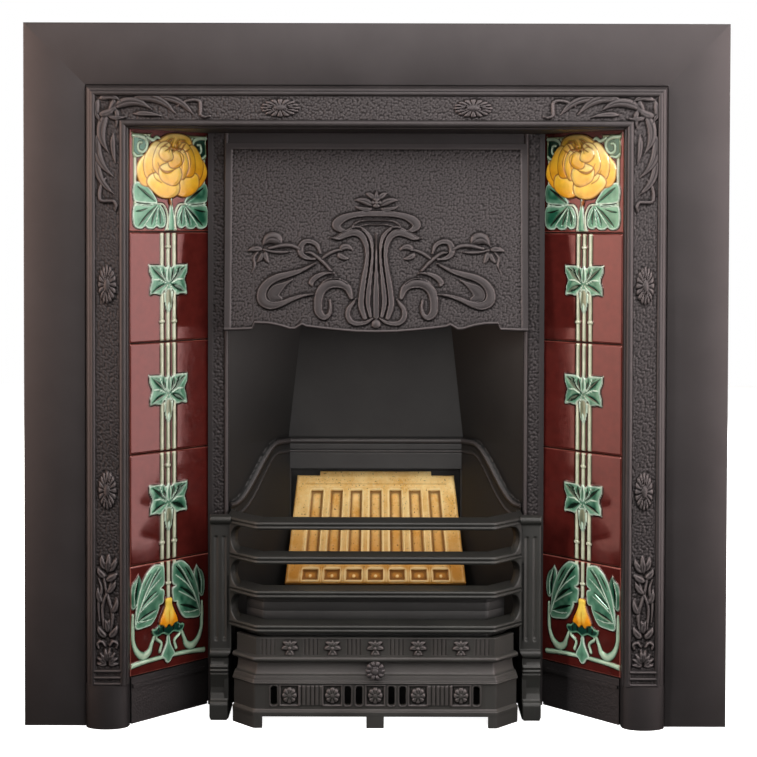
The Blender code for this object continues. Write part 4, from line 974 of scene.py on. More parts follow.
hoodDrawing = {
    "half": 213.0, "top": 805.0, "foot": 1.48, "lean": 0.0934, "thick": 5.0, "back": 96.4,
    "grain": 1.12, "pebble": 3.0, "pebbleHeight": 0.8, "border": (9.0, 8.5), "hem": 4.5, "returnFoot": 541.5,
    # the lower edge, then the middle boss and flower: height and radius
    "boss": (551.5, 7.0), "flower": (721.5, 8.0),
    "edge": [(0, 538.6), (28, 539.2), (56, 541.5), (80, 544), (98, 546.2), (104, 549), (109, 546), (114, 542.8),
             (121, 543), (136, 547.4), (152, 550.4), (171, 550.8), (174, 542.5), (213, 541)],
    # each line: its points (across, height, half width), how high it stands
    "ribbons": (
        ([(0, 562, 4.4), (0, 590, 4.8), (0, 612, 3.6), (0, 640, 2.2), (0, 677, 1.4)], 3.6),
        ([(8, 562, 2.8), (11.2, 577, 3.8), (11.2, 592, 4.0), (9, 612, 3.4), (6.8, 632, 2.8), (5.8, 650, 2.4),
          (7.4, 666, 2.6), (13, 677, 2.4), (20, 683, 1.2)], 4.0),
        ([(16, 560, 3.6), (20.6, 575, 4.6), (20.6, 590, 4.6), (17.6, 612, 4.2), (14.2, 632, 3.6), (12.8, 648, 3.4),
          (14.4, 662, 4.0), (20, 674, 5.0), (30, 679.5, 5.4), (42, 677, 5.0), (53, 671.5, 3.4), (64, 671.5, 0.8)],
          4.6),
        ([(0, 706, 4.6), (22, 705.5, 4.6), (39, 702.5, 5), (51, 697, 6.4), (56.5, 690, 6.4), (52, 684, 4.4),
          (43, 681.5, 1.8)], 4.4),
        ([(118, 613, 1), (130, 606, 4), (141, 598, 8), (145, 590, 8), (135, 585.5, 4)], 2.8),
        ([(86, 636, 1.5), (102, 627.5, 3), (121, 621, 4.6), (139, 616, 5.4), (153, 607.5, 6), (160.5, 595, 6.8),
          (159, 583, 7.2), (149, 577, 6.2), (136, 578.5, 4.8), (118, 586, 3.6), (102, 591, 2.6), (84, 593, 1)], 4.6),
        ([(79, 650, 1.6), (83, 661, 3.2), (92, 666.5, 3.6), (101, 666, 4), (106.5, 658.5, 4.4), (105, 649, 4.2),
          (97, 643.5, 3.2), (86, 642, 2)], 3.8),
        ([(60, 622.5, 1.5), (72, 622, 2.8), (84, 617, 4), (91, 610, 4), (90, 605, 2)], 3.8),
        ([(35, 588, 3.2), (40, 601, 5.4), (50, 607.5, 6.8), (62, 608.5, 7.6), (72, 604, 7.2), (79, 594, 6.6),
          (81.5, 580, 6.4), (80, 567, 6), (73, 560.5, 4.6), (66.5, 564, 3.2), (64, 573, 2.6), (65, 584, 2.0)], 4.6),
        ([(5, 559, 1.5), (13, 554, 3), (24, 551.8, 3.6), (34, 553.8, 4), (39.5, 562, 4), (38.5, 572, 3.6),
          (33, 580, 2.6), (29, 586, 1)], 4.0),
    ),
    "ridges": (
        ([(4, 655, 1), (7, 672, 1.5), (16, 683, 1.8), (27, 687.5, 1.8), (40, 683.5, 1.5), (54, 675.5, 1.2),
          (64, 672, 0.6)], 3.4),
        ([(0, 696.5, 1.3), (20, 696, 1.5), (30, 692, 1.6), (34, 687.5, 1.2)], 3.2),
        ([(0, 690.5, 1.2), (14, 690.5, 1.4), (24, 688, 1.2)], 2.8),
        ([(64, 626, 2.2), (72, 635, 2.8), (82, 644, 3), (92, 650.5, 2.6), (100, 651, 1.2)], 5.0),
        ([(76, 643, 2.2), (66, 650, 2.8), (56, 654, 2.4), (48, 655, 1.6)], 3.4),
        ([(108, 656, 2.6), (118, 660.5, 3.2), (132, 661, 3.4), (150, 657, 2.6)], 3.4),
        ([(120, 652.5, 0.8), (134, 651.5, 2.6), (148, 652.5, 2.2), (158, 655, 1.6)], 3.4),
        ([(166, 652, 1.4), (172, 644, 1.6), (171, 633, 1.3), (175, 622, 0.6)], 2.4),
    ),
    "grooves": (
        ([(40, 606.5, 0.9), (50, 612.5, 1.2), (62, 613.5, 1.2), (74, 609.5, 1.2), (84, 601, 0.9)], 1.3),
    ),
    # root, tip, half width, bend, height
    "leaves": (
        ((4, 716), (31, 725), 5.2, 0.12, 3.8), ((5, 713), (31, 717), 3.4, -0.1, 3.2),
        ((3, 726), (15, 735), 4.0, 0.1, 3.6), ((0, 724), (0, 738), 3.4, 0.0, 3.8),
        ((133, 664), (160, 661), 8.5, 0.34, 4.2), ((160, 655), (181, 653), 4.0, 0.1, 3.6),
        ((156, 653), (151, 636), 3.4, 0.1, 3.4), ((160, 651), (168, 637), 3.2, -0.1, 3.4),
        ((52, 655), (33, 654), 4.4, -0.26, 3.6), ((54, 651), (38, 643), 3.8, 0.16, 3.4),
    ),
}


def hoodEdge(across):
    points = np.array(hoodDrawing["edge"], float)
    return np.interp(np.abs(across), points[:, 0], points[:, 1])


def hoodRelief(u, share):
    edge = hoodEdge(u)
    z = edge + share * (hoodDrawing["top"] - edge)
    x = np.abs(u)
    face = Casting(x, z, 0.15 + hoodDrawing["pebbleHeight"] * pebbled(u, z, hoodDrawing["pebble"]))
    (boss, bossRadius), (flower, flowerRadius) = hoodDrawing["boss"], hoodDrawing["flower"]
    face.dome((0.0, boss), (bossRadius, bossRadius), 4.6)
    for line, top in hoodDrawing["ribbons"]:
        face.ribbon(line, top)
    for line, top in hoodDrawing["ridges"]:
        face.ridge(line, top)
    for line, deep in hoodDrawing["grooves"]:
        face.groove(line, deep)
    for root, tip, half, bend, top in hoodDrawing["leaves"]:
        face.leaf(root, tip, half, bend, top)
    face.flower((0.0, flower), (flowerRadius, flowerRadius), 5, 4.2)
    beside, above = hoodDrawing["half"] - hoodDrawing["border"][0], hoodDrawing["top"] - hoodDrawing["border"][1]
    face.lay(np.maximum(step(x, beside - 0.8, beside + 0.5), step(z, above - 0.8, above + 0.5)), 2.0)
    hem = z - edge
    face.lay(1 - step(hem, hoodDrawing["hem"] - 1.0, hoodDrawing["hem"] + 0.4), 1.6 + 1.0 * swell(hem, 3.0))
    return face.height, None


def hoodPlace(u, share, h):
    edge = hoodEdge(u)
    z = edge + share * (hoodDrawing["top"] - edge)
    return inPlace(u, hoodDrawing["foot"] + hoodDrawing["lean"] * z - h, z)


def buildHood():
    half, top, thick = hoodDrawing["half"], hoodDrawing["top"], hoodDrawing["thick"]
    foot, back, grain = hoodDrawing["returnFoot"], hoodDrawing["back"], hoodDrawing["grain"]
    face = reliefSheet("hood_face", hoodPlace, (-half, half), (0.0, 1.0),
                       (grain, grain / (top - hoodDrawing["edge"][0][1])), hoodRelief, thick,
                       (carvedIron, "cast_iron"))
    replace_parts(face, "hood")
    bm = bmesh.new()
    low, high = (hoodDrawing["foot"] + hoodDrawing["lean"] * z + 0.4 for z in (foot, top))
    for side in (-1, 1):
        sweep(bm, crosswise([(high, top), (back, top), (back, foot), (low, foot)], side * (half - thick),
                            side * half))
    sweep(bm, crosswise([(high, top - thick), (high, top), (back, top), (back, top - thick)], -half, half))
    finishPiece(bm, "hood_returns", plainIron)
    print("hood cast")


buildHood()


# Strips beside the chamber: a bead along the inner edge and a hammered field, laid over the slides' own strips

stripDrawing = {"inner": 210.4, "outer": 240.5, "top": 820.5, "face": 97.0, "bead": (214.2, 2.6),
                "field": (217.8, 233.0), "hammer": 3.6, "grain": 1.15}


def stripRelief(u, v):
    low, high = stripDrawing["field"]
    centre, half = stripDrawing["bead"]
    field = step(u, low - 0.4, low + 0.4) * (1 - step(u, high - 0.4, high + 0.4))
    height = 0.9 - field * (0.8 - 0.75 * pebbled(u, v, stripDrawing["hammer"], 11))
    bead = np.clip(1 - ((u - centre) / half) ** 2, 0, 1)
    return height + 1.5 * np.sqrt(bead) - 0.5 * np.exp(-((u - centre - half - 0.5) / 0.6) ** 2), None


def buildStrips():
    grain = stripDrawing["grain"]
    for name, side in sides:
        reliefSheet(f"hammered_strip_{name}",
                    lambda u, v, h, side=side: inPlace(side * u, stripDrawing["face"] - 0.15 - h, v),
                    (stripDrawing["inner"] + 0.1, stripDrawing["outer"] - 0.1), (0.5, stripDrawing["top"]),
                    (grain, grain), stripRelief, 0.1, (carvedIron, "cast_iron"))
    print("strips cast")


buildStrips()


# Fireclay panel: leaning back, with seven tall recesses over seven small ones

clayDrawing = {"foot": (160.0, 161.0), "head": (221.8, 311.5), "halves": (134.0, 118.5), "pitch": 0.243, "grain": 1.6,
               # low end, high end and half width, as shares of the panel
               "tall": (0.20, 0.86, 0.076), "small": (0.03, 0.13, 0.086), "deep": 6.5, "step": 0.915, "thick": 16.0,
               # about half its width, and its height, which turn millimetres to shares
               "spans": (126.0, 158.0), "tab": ((-0.71, 0.71), (0.98, 1.04)), "tabThick": 12.0,
               "tabWidth": 120.0}


def clayPlace(u, v, h):
    foot, head = Vector(clayDrawing["foot"]), Vector(clayDrawing["head"])
    run = head - foot
    out = Vector((-run.y, run.x)).normalized()
    low, high = clayDrawing["halves"]
    return inPlace(u * (low + (high - low) * v), foot.x + run.x * v + out.x * h, foot.y + run.y * v + out.y * h)


def clayRelief(u, v):
    length = (Vector(clayDrawing["head"]) - Vector(clayDrawing["foot"])).length
    foot, head = clayDrawing["halves"]
    half = foot + (head - foot) * v
    column = np.clip(np.round(u / clayDrawing["pitch"]), -3, 3)
    off = np.abs(u - column * clayDrawing["pitch"]) * half
    height = 0.35 * drift(u * half, v * length, 30.0, 6) + 0.2 * drift(u * half, v * length, 6.0, 7)
    for low, high, share in (clayDrawing["tall"], clayDrawing["small"]):
        rise = np.minimum(v - low, high - v) * length
        into = np.minimum(share * half - off, rise)
        height = height - clayDrawing["deep"] * step(into, -0.6, 1.8)
        near = np.minimum(share * half + 3.4 - off, rise + 3.4)
        height = height - 0.7 * step(near, -0.5, 0.5) * (1 - step(near, 1.0, 1.8))
    low, high, _ = clayDrawing["small"]
    knob = np.hypot(off, (v - (low * 0.6 + high * 0.4)) * length)
    height = height + 2.6 * (1 - step(knob, 1.2, 3.4))
    line = 1 - step(np.abs(v - clayDrawing["step"]) * length, 0.5, 1.5)
    height = height - line * step(0.9 - np.abs(u), 0.0, 0.02)
    edge = np.minimum(np.minimum(1 - np.abs(u), 1.0) * half, np.minimum(v, 1 - v) * length)
    return height - 1.8 * (1 - step(edge, 0.0, 3.0)), None


def tabRelief(u, v):
    swells = drift(u * clayDrawing["tabWidth"], v * clayDrawing["spans"][1], 9.0, 8)
    return 0.3 * swells - 0.8 - 1.2 * step(v, 1.03, 1.04), None


def buildFireclay():
    look = (fireclay, "fireclay")
    cell = tuple(clayDrawing["grain"] / span for span in clayDrawing["spans"])
    panel = reliefSheet("fireclay_face", clayPlace, (-1.0, 1.0), (0.0, 1.0), cell, clayRelief, clayDrawing["thick"],
                        look)
    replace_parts(panel, "fireclay_back")
    reliefSheet("fireclay_tab", clayPlace, *clayDrawing["tab"], cell, tabRelief, clayDrawing["tabThick"], look)
    print("fireclay fired")


buildFireclay()


# Grate: four bars between fluted pillars

grateDrawing = {
    "end": (204.0, 31.0), "corner": (163.0, -10.0), "reach": 21.0, "bottoms": (130.5, 177.8, 225.0, 272.3),
    "pillar": (201.0, 231.0), "front": 29.0, "flutes": (211.0, 222.2), "fluteEnds": (112.0, 254.0), "fluteHalf": 2.6,
    "back": 95.0, "slotReach": 17.0, "grain": 1.15, "collar": 96.0, "wall": 6.0, "wallTop": 282.0, "top": 285.0,
    "waist": 4.0,
    # the pillar's front, as depths and heights
    "face": [(24.5, 0), (24, 2), (24, 21), (25.5, 24.5), (30.5, 27), (31.5, 30), (33.2, 36), (33.4, 44), (31, 56),
             (29.4, 63), (30.6, 65), (28.2, 67), (28.2, 68.6), (30.6, 70.6), (28.2, 72.6), (28.2, 74.2), (30.8, 76),
             (32, 80), (32, 85.6), (27.4, 87), (25.8, 90), (26, 94), (27.6, 96.6), (31, 97.8), (31, 271.5),
             (30.4, 273.5), (27.4, 275), (26, 279), (27, 283), (30, 284.8), (31, 285)],
}


def planStations(end, corner, level, spread=4.0):
    # the plan line from the left end to the right one: each station is a place, and its way inwards per millimetre
    reach = grateDrawing["reach"]
    points = [Vector((-end[0], end[1])), Vector((-corner[0], corner[1])), Vector(corner), Vector(end)]
    runs = [(b - a).normalized() for a, b in zip(points, points[1:])]
    ways = [Vector((-run.y, run.x)) for run in runs]
    stations = [(points[0], Vector((0.0, 1.0 / ways[0].y)) if level else ways[0])]
    for point, before, after, wayBefore, wayAfter in zip(points[1:], runs, runs[1:], ways, ways[1:]):
        # three stations round each corner, which ease it
        mitre = (wayBefore + wayAfter) / (1 + wayBefore.dot(wayAfter))
        inner = point + mitre * reach
        for place, aim in ((point - before * spread, inner - before), (point + mitre * spread * 0.19, inner),
                           (point + after * spread, inner + after)):
            stations.append((place, (aim - place) / reach))
    stations.append((points[3], Vector((0.0, 1.0 / ways[2].y)) if level else ways[2]))
    return stations


def sweepPlan(bm, stations, section):
    sweep(bm, [[spot(*(place + way * offset), z) for offset, z in section] for place, way in stations])


def barSection(bottom):
    # two beads with a groove between them, under a sloping top
    section = arcPoints((2.8, 2.9), (2.8, 2.7), 280, 118, 8) + arcPoints((2.8, 8.3), (2.8, 2.9), 242, 80, 8)
    section += [(20.4, 14.8), (21.0, 14.2), (21.0, 0.8), (20.4, 0.2)]
    return [(offset, bottom + z) for offset, z in section]


def addSlotEnd(bm, side, low, high):
    # rounds the end of the gap between two bars into a bowl, where they run into the pillar
    outer = Vector((side * (grateDrawing["pillar"][0] + 2.0), 30.0))
    corner = Vector((side * grateDrawing["corner"][0], grateDrawing["corner"][1]))
    run = (corner - outer).normalized()
    inward = Vector((side * run.y, -side * run.x))
    reach, middle, half = grateDrawing["slotReach"], (low + high) / 2, (high - low) / 2
    stations = []
    for depth, wider in ((0.6, 1.6), (0.9, 0.7), (1.8, 0.0), (9.0, 0.6), (15.0, 2.4)):
        bowl = arcPoints((reach, middle), (reach - 1.6 + wider, half - 1.4 + wider * 0.5), 270, 90, 20)[1:-1]
        outline = [(-2.0, low), (reach, low), *bowl, (reach, high), (-2.0, high)]
        stations.append([spot(*(outer + run * s + inward * depth), z) for s, z in outline])
    sweep(bm, stations)


def pillarRelief(u, v):
    inner, outer = grateDrawing["pillar"]
    height = np.zeros(u.shape)
    low, high = grateDrawing["fluteEnds"]
    for flute in grateDrawing["flutes"]:
        line = [(flute, end, grateDrawing["fluteHalf"]) for end in (low, high)]
        depth, half, _ = inside(u, v, line, 1)
        height = height - 1.8 * swell(depth, half)
        height = height + 0.9 * (1 - step(np.hypot(u - flute, v - low - 0.5), 0.8, 2.2))
    edge = np.minimum(u - inner, outer - u)
    return height - 1.6 * (1 - np.sqrt(1 - (1 - np.clip(edge / 1.6, 0, 1)) ** 2)), None


def pillarEdge(u, v):
    # below its collar the pillar is narrower on the side of the ash cover, and its foot is eased
    inner, outer = grateDrawing["pillar"]
    waist = inner + grateDrawing["waist"] * (1 - step(v, 88.0, 95.0))
    foot = 1.5 * (1 - step(v, 0.0, 5.0))
    share = (u - inner) / (outer - inner)
    return waist + foot + share * (outer - waist - 2 * foot)


def buildGrate():
    bm = bmesh.new()
    stations = planStations(grateDrawing["end"], grateDrawing["corner"], True)
    for bottom in grateDrawing["bottoms"]:
        sweepPlan(bm, stations, barSection(bottom))
    inner, collar = grateDrawing["pillar"][0], grateDrawing["collar"]
    depths = (grateDrawing["end"][1], grateDrawing["back"])
    for side in (-1, 1):
        # the pillar's return, set in below the collar
        for x, heights in ((inner, (collar, grateDrawing["wallTop"])), (inner + grateDrawing["waist"], (0.0, collar))):
            addBlock(bm, (side * x, side * (x + grateDrawing["wall"])), depths, heights)
        for low, high in zip(grateDrawing["bottoms"], grateDrawing["bottoms"][1:]):
            addSlotEnd(bm, side, low + 9.5, high + 1.2)
    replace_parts(finishPiece(bm, "grate_bars", grateIron), "grate_front")
    depths, heights = np.array(grateDrawing["face"], float).T
    grain = grateDrawing["grain"]
    for name, side in sides:
        reliefSheet(f"pillar_{name}",
                    lambda u, v, h, side=side: inPlace(side * pillarEdge(u, v), np.interp(v, heights, depths) - h, v),
                    grateDrawing["pillar"], (0.0, grateDrawing["top"]), (grain, grain), pillarRelief, 11.0,
                    (grateIron, "cast_iron"), 50.0)
    print("grate cast")


buildGrate()


# Fire chamber: splayed walls with a double bead like a swan's neck, and a back that leans forward over the fireclay

chamberDrawing = {
    "front": (212.0, 102.6), "rear": (131.0, 204.0), "back": 204.4, "cornice": 371.0, "draw": 0.115, "top": 815.0,
    "wall": 5.0, "neck": (291.0, 79.0, 0.05, 0.75), "raised": 4.6, "beads": ((3.4, 3.6, 7.2), (19.0, 1.5, 5.8)),
    "lap": 6.0, "opening": (127.5, 158.0, 325.0), "pocket": (100.0, 242.0), "run": 129.8, "grain": (2.1, 1.9),
    "backGrain": (2.0, 1.0), "upperGrain": (0.1, 20.0),
}


def drawnIn(height):
    # how far the walls have drawn together above the ledge
    return chamberDrawing["draw"] * np.maximum(height - chamberDrawing["cornice"], 0.0)


def neckRelief(share, height):
    # a raised field under a double bead, which falls from the ledge to the front in an S
    foot, rise, start, span = chamberDrawing["neck"]
    line = foot + rise * step(share, start, start + span)
    ahead, behind = (step(share + offset, start, start + span) for offset in (0.01, -0.01))
    slope = (ahead - behind) * rise / 0.02 / chamberDrawing["run"]
    level = 1.0 / np.hypot(1.0, slope)
    relief = chamberDrawing["raised"] * step((line - height) * level, -0.6, 0.6)
    for drop, half, top in chamberDrawing["beads"]:
        off = np.abs((line - height) * level - drop)
        bead = (top - chamberDrawing["raised"]) * np.sqrt(np.clip(1 - (off / half) ** 2, 0, 1))
        relief = relief + bead - 0.5 * np.exp(-((off - half - 0.6) / 0.6) ** 2)
    return relief, None


def wallPlace(side):
    front, rear = chamberDrawing["front"], chamberDrawing["rear"]

    def place(share, z, h):
        run = np.stack([rear[0] - drawnIn(z) - front[0], rear[1] - drawnIn(z) - front[1]])
        out = np.stack([-run[1], run[0]]) / np.hypot(*run)
        return inPlace(side * (front[0] + run[0] * share + out[0] * h), front[1] + run[1] * share + out[1] * h, z)
    return place


def backPlace(share, z, h):
    half = chamberDrawing["rear"][0] + chamberDrawing["lap"]
    return inPlace(share * (half - drawnIn(z)), chamberDrawing["back"] - drawnIn(z) - h, z)


def buildChamber():
    top, ledge, thick = (chamberDrawing[key] for key in ("top", "cornice", "wall"))
    (across, upward), (backAcross, backUpward) = chamberDrawing["grain"], chamberDrawing["backGrain"]
    half = chamberDrawing["rear"][0] + chamberDrawing["lap"]
    opening, sill, lintel = chamberDrawing["opening"]
    low, deep = chamberDrawing["pocket"]
    face = chamberDrawing["back"]
    # each wall below the ledge and above it: names, node, place, ends, foot, grain, relief and iron
    plates = [(f"chamber_wall_{name}", f"chamber_wall_upper_{name}", f"firebox_{name}", wallPlace(side), (0.0, 1.0),
               0.5, (across / chamberDrawing["run"], upward), neckRelief, sootedShadedIron) for name, side in sides]
    plates.append(("chamber_back", "chamber_back_upper", "firebox_back", backPlace, (-1.0, 1.0), lintel,
                   (backAcross / half, backUpward), lambda u, v: neckRelief(np.ones_like(u), v), heatedIron))
    for lower, upper, node, place, ends, foot, grain, relief, iron in plates:
        look = (iron, "cast_iron")
        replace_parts(reliefSheet(lower, place, ends, (foot, ledge + 8.0), grain, relief, thick, look), node)
        reliefSheet(upper, place, ends, (ledge + 7.8, top), chamberDrawing["upperGrain"], unraised, thick, look,
                    60.0)
    # behind the fireclay the back opens into a pocket
    bm = bmesh.new()
    raised = face - chamberDrawing["raised"]
    for side in (-1, 1):
        addBlock(bm, (side * opening, side * half), (raised, face + thick), (0.5, lintel))
        addBlock(bm, (side * (opening + 1.0), side * (opening + 1.0 + thick)), (face + 3.6, deep),
                 (low, lintel + 3.0))
    for reach, depths, heights in ((opening + 2.0, (face + 0.2, deep), (lintel + 0.1, lintel + thick)),
                                   (opening, (raised, face + thick), (0.5, sill)),
                                   (opening + 2.0, (deep - 4.4, deep), (low, lintel + 3.0))):
        addBlock(bm, (-reach, reach), depths, heights)
    finishPiece(bm, "chamber_pocket", heatedIron)
    print("fire chamber cast")


buildChamber()


# Bottom grate: a slotted floor behind a plain lip

trayDrawing = {
    "end": (181.0, 47.0), "corner": (156.0, 22.0), "lip": (118.0, 181.0), "floor": (118.0, 127.0), "slots": 9,
    "pitch": 32.0, "slotHalf": 6.0, "slotEnds": (38.0, 146.0), "lines": (130.0, 142.0, 154.0, 166.0),
    # the floor's plan in front of the slots, beside them and behind them, for one side
    "ahead": ((154, 24.5), (167.5, 38)), "behind": ((157.5, 146), (145, 159)),
    "beside": ((134, 37.9), (167.4, 37.9), (178, 48), (184, 54), (184, 93), (190, 100), (157.4, 146.1), (134, 146.1)),
}


def buildTray():
    low, high = trayDrawing["lip"]
    bm = bmesh.new()
    section = [(1.2, low), (0.2, low + 1.2)]
    for line in trayDrawing["lines"]:
        section += [(0.2, line - 1.2), (0.7, line), (0.2, line + 1.2)]
    section += [(0.2, high - 2.2), (1.0, high - 0.6), (2.6, high), (6.0, high), (6.0, low)]
    sweepPlan(bm, planStations(trayDrawing["end"], trayDrawing["corner"], False, 3.0), section)
    heights = trayDrawing["floor"]
    for half in (trayDrawing["ahead"], trayDrawing["behind"]):
        sweep(bm, upright([*half, *((-x, d) for x, d in reversed(half))], *heights))
    for side in (-1, 1):
        sweep(bm, upright([(side * x, d) for x, d in trayDrawing["beside"]], *heights))
    near, far = trayDrawing["slotEnds"]
    reach = trayDrawing["pitch"] / 2 - trayDrawing["slotHalf"]
    for i in range(trayDrawing["slots"] - 1):
        middle = (i - (trayDrawing["slots"] - 2) / 2) * trayDrawing["pitch"]
        addBlock(bm, (middle - reach, middle + reach), (near - 0.1, far + 0.1), heights)
    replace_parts(finishPiece(bm, "slotted_tray", heatedIron), "bottom_grate")
    print("bottom grate cast")


buildTray()


# Ash cover: a canted front with a strip of leaves, an ogee, and a panel of slots and rosettes

coverDrawing = {
    "end": (198.5, 21.5), "corner": (167.0, -10.0), "foot": 16.0, "panel": (26.0, 60.0), "panelHalf": 150.0,
    "panelSet": 3.2, "strip": (98.5, 121.5), "stripHalf": 164.0, "stripSet": 8.0, "pitch": 58.8,
    "slots": (22.0, 37.7, 139.0), "slotHalf": 4.2, "slotEnds": (31.0, 57.0), "slotRadius": 3.0,
    "reeds": (74.0, 80.0, 86.0, 92.0, 98.0, 104.0), "rosette": 44.5, "sprig": 108.5, "stripReeds": (3.0, 8.6),
    "grain": 0.95, "thick": 6.0, "footEnd": 155.0, "footHalf": 12.0,
    # the leaves of each sprig: root, tip, half width, bend
    "leaves": (((0, 0), (0, 10.5), 3.2, 0), ((-1, 1), (-9.5, 8), 3.0, -0.2), ((1, 1), (9.5, 8), 3.0, 0.2),
               ((-1, -1), (-11, -1.5), 3.0, -0.2), ((1, -1), (11, -1.5), 3.0, 0.2), ((-1, -2), (-6, -9), 2.6, 0.2),
               ((1, -2), (6, -9), 2.6, -0.2)),
}


def coverBody():
    # offset behind the front line, and height
    front = [(3.2, 59.5), *arcPoints((2.4, 61.6), (2.2, 1.8), 240, 110, 6), (0.9, 63.6), (1.7, 65.6), (2.4, 65.8),
             (3.0, 68.6), (3.8, 68.9), (4.5, 71.4), (5.3, 71.8)]
    turns = [math.radians(turn) for turn in range(14, 91, 9)]
    ogee = [(5.4 + 5.6 * math.sin(turn), 72.0 + 17.0 * (1 - math.cos(turn))) for turn in turns]
    bead = [(11.0, 90.2), (3.0, 90.6), *arcPoints((3.2, 94.4), (3.2, 3.6), 250, 105, 10), (4.4, 98.4), (8.6, 98.8)]
    top = [(8.6, 121.2), (8.0, 121.6), (8.2, 122.8), (9.4, 123.2), (14.0, 123.2), (14.0, 68.0), (9.2, 59.5)]
    return front + ogee + bead + top


def inSlot(u, v):
    low, high = coverDrawing["slotEnds"]
    across = np.min([np.abs(np.abs(u) - slot) for slot in coverDrawing["slots"]], axis=0)
    radius = coverDrawing["slotRadius"]
    beside = np.maximum(across - coverDrawing["slotHalf"] + radius, 0)
    above = np.maximum(np.maximum(low + radius - v, v - high + radius), 0)
    return radius - np.hypot(beside, above)


def fromMotif(u):
    # how far across each point is from the nearest of the five rosettes
    return u - np.clip(np.round(u / coverDrawing["pitch"]), -2, 2) * coverDrawing["pitch"]


def panelRelief(u, v):
    off, rise = fromMotif(u), v - coverDrawing["rosette"]
    face = Casting(off, rise, 0.12 * drift(u, v, 9.0, 4))
    # a sunk square with a raised rim round each rosette
    frame = np.minimum(14.0 - np.abs(off), 15.0 - np.abs(rise))
    face.height = face.height + 0.8 * step(frame, -0.4, 0.5) * (1 - step(frame, 1.4, 2.2))
    face.height = face.height - 0.9 * step(frame, 1.6, 2.8)
    face.flower((0.0, 0.0), (10.4, 11.6), 8, 2.4, 0.3)
    for reed in coverDrawing["reeds"]:
        rounded = np.sqrt(np.clip(1 - ((np.abs(u) - reed) / 2.4) ** 2, 0, 1))
        face.height = face.height + 1.1 * rounded * step(14.0 - np.abs(rise), -0.5, 1.5)
    rim = inSlot(u, v)
    face.height = face.height + 0.7 * step(rim, -2.6, -1.8) * (1 - step(rim, -1.4, -0.2))
    return face.height, None


def stripOrnament(u, v):
    # a sprig over each rosette, and reeds midway between the sprigs
    pitch = coverDrawing["pitch"]
    between = np.abs(np.abs(u - np.round(u / pitch - 0.5) * pitch - pitch / 2))
    face = Casting(fromMotif(u), v - coverDrawing["sprig"], 0.1 * drift(u, v, 8.0, 4))
    for reed in coverDrawing["stripReeds"]:
        face.height = face.height - 0.9 * np.exp(-((between - reed) / 0.9) ** 2)
    for root, tip, half, bend in coverDrawing["leaves"]:
        face.leaf(root, tip, half, bend, 3.4)
    face.dome((0.0, -8.0), (3.4, 3.4), 3.4)
    face.dome((0.0, 0.0), (3.2, 3.2), 4.2)
    return face.height, None


def buildCover():
    low, high = coverDrawing["panel"]
    stations = planStations(coverDrawing["end"], coverDrawing["corner"], False, 2.0)
    front, inset, foot = coverDrawing["corner"][1], coverDrawing["panelSet"], coverDrawing["foot"]
    bm = bmesh.new()
    sweepPlan(bm, stations, coverBody())
    rail = [(0.4, foot), *arcPoints((1.6, 21.6), (1.6, 1.6), 180, 100, 4), (inset + 0.1, low), (9.2, low),
            (6.5, foot)]
    sweepPlan(bm, stations, rail)
    # plain plates from each end to the pierced panel
    plate = [(inset, low - 0.5), (inset, high), (9.2, high), (9.2, low - 0.5)]
    for side, part in ((-1, stations[:4]), (1, stations[4:])):
        turn = (Vector((side * coverDrawing["panelHalf"], front)), Vector((0.0, 1.0)))
        sweepPlan(bm, [*part, turn] if side < 0 else [turn, *part], plate)
    # a foot under each canted end, and one in the middle
    for side, part in ((-1, stations[:4]), (1, stations[4:])):
        outer, inner = ([place + way * offset for place, way in part] for offset in (0.6, coverDrawing["thick"]))
        ends = [Vector((side * coverDrawing["footEnd"], line[0 if side > 0 else -1].y)) for line in (outer, inner)]
        outline = [ends[0], *outer, *reversed(inner), ends[1]] if side > 0 else [*outer, *ends, *reversed(inner)]
        sweep(bm, upright([tuple(place) for place in outline], 0.0, foot + 4.0))
    reach = coverDrawing["footHalf"]
    addBlock(bm, (-reach, reach), (front + 0.6, front + coverDrawing["thick"]), (0.0, foot + 4.0))
    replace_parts(finishPiece(bm, "cover_body", greyCoverIron), "ashpan_cover")
    cell, look = (coverDrawing["grain"], coverDrawing["grain"]), (greyCoverCarving, "cast_iron")
    half = coverDrawing["panelHalf"] + 1.0
    reliefSheet("cover_panel", lambda u, v, h: inPlace(u, front + inset - 0.2 - h, v), (-half, half),
                (low - 0.3, high - 0.2), cell, panelRelief, 5.6, look, opening=lambda u, v: inSlot(u, v) > 0)
    half = coverDrawing["stripHalf"]
    reliefSheet("cover_strip", lambda u, v, h: inPlace(u, front + coverDrawing["stripSet"] - 0.2 - h, v),
                (-half, half), coverDrawing["strip"], cell, stripOrnament, 1.0, look)
    print("ash cover cast")


buildCover()


# Knob: a daisy of ten petals round a button, on a short neck

knobDrawing = {
    "height": 80.5, "points": 120, "petals": 10, "heart": 5.8, "gap": 0.09, "sink": 3.4, "frontFrom": -13.5,
    # depth and radius from the neck to the button
    "stages": ((-4.4, 4.5), (-9.0, 4.8), (-10.4, 7.0), (-11.4, 11.4), (-12.6, 13.0), (-14.0, 13.3), (-15.4, 13.0),
               (-16.6, 11.8), (-17.2, 10.0), (-17.0, 8.2), (-16.0, 6.6), (-14.8, 5.7), (-15.2, 5.0), (-17.2, 4.8),
               (-18.8, 4.0), (-19.7, 2.4), (-19.98, 0.8)),
}


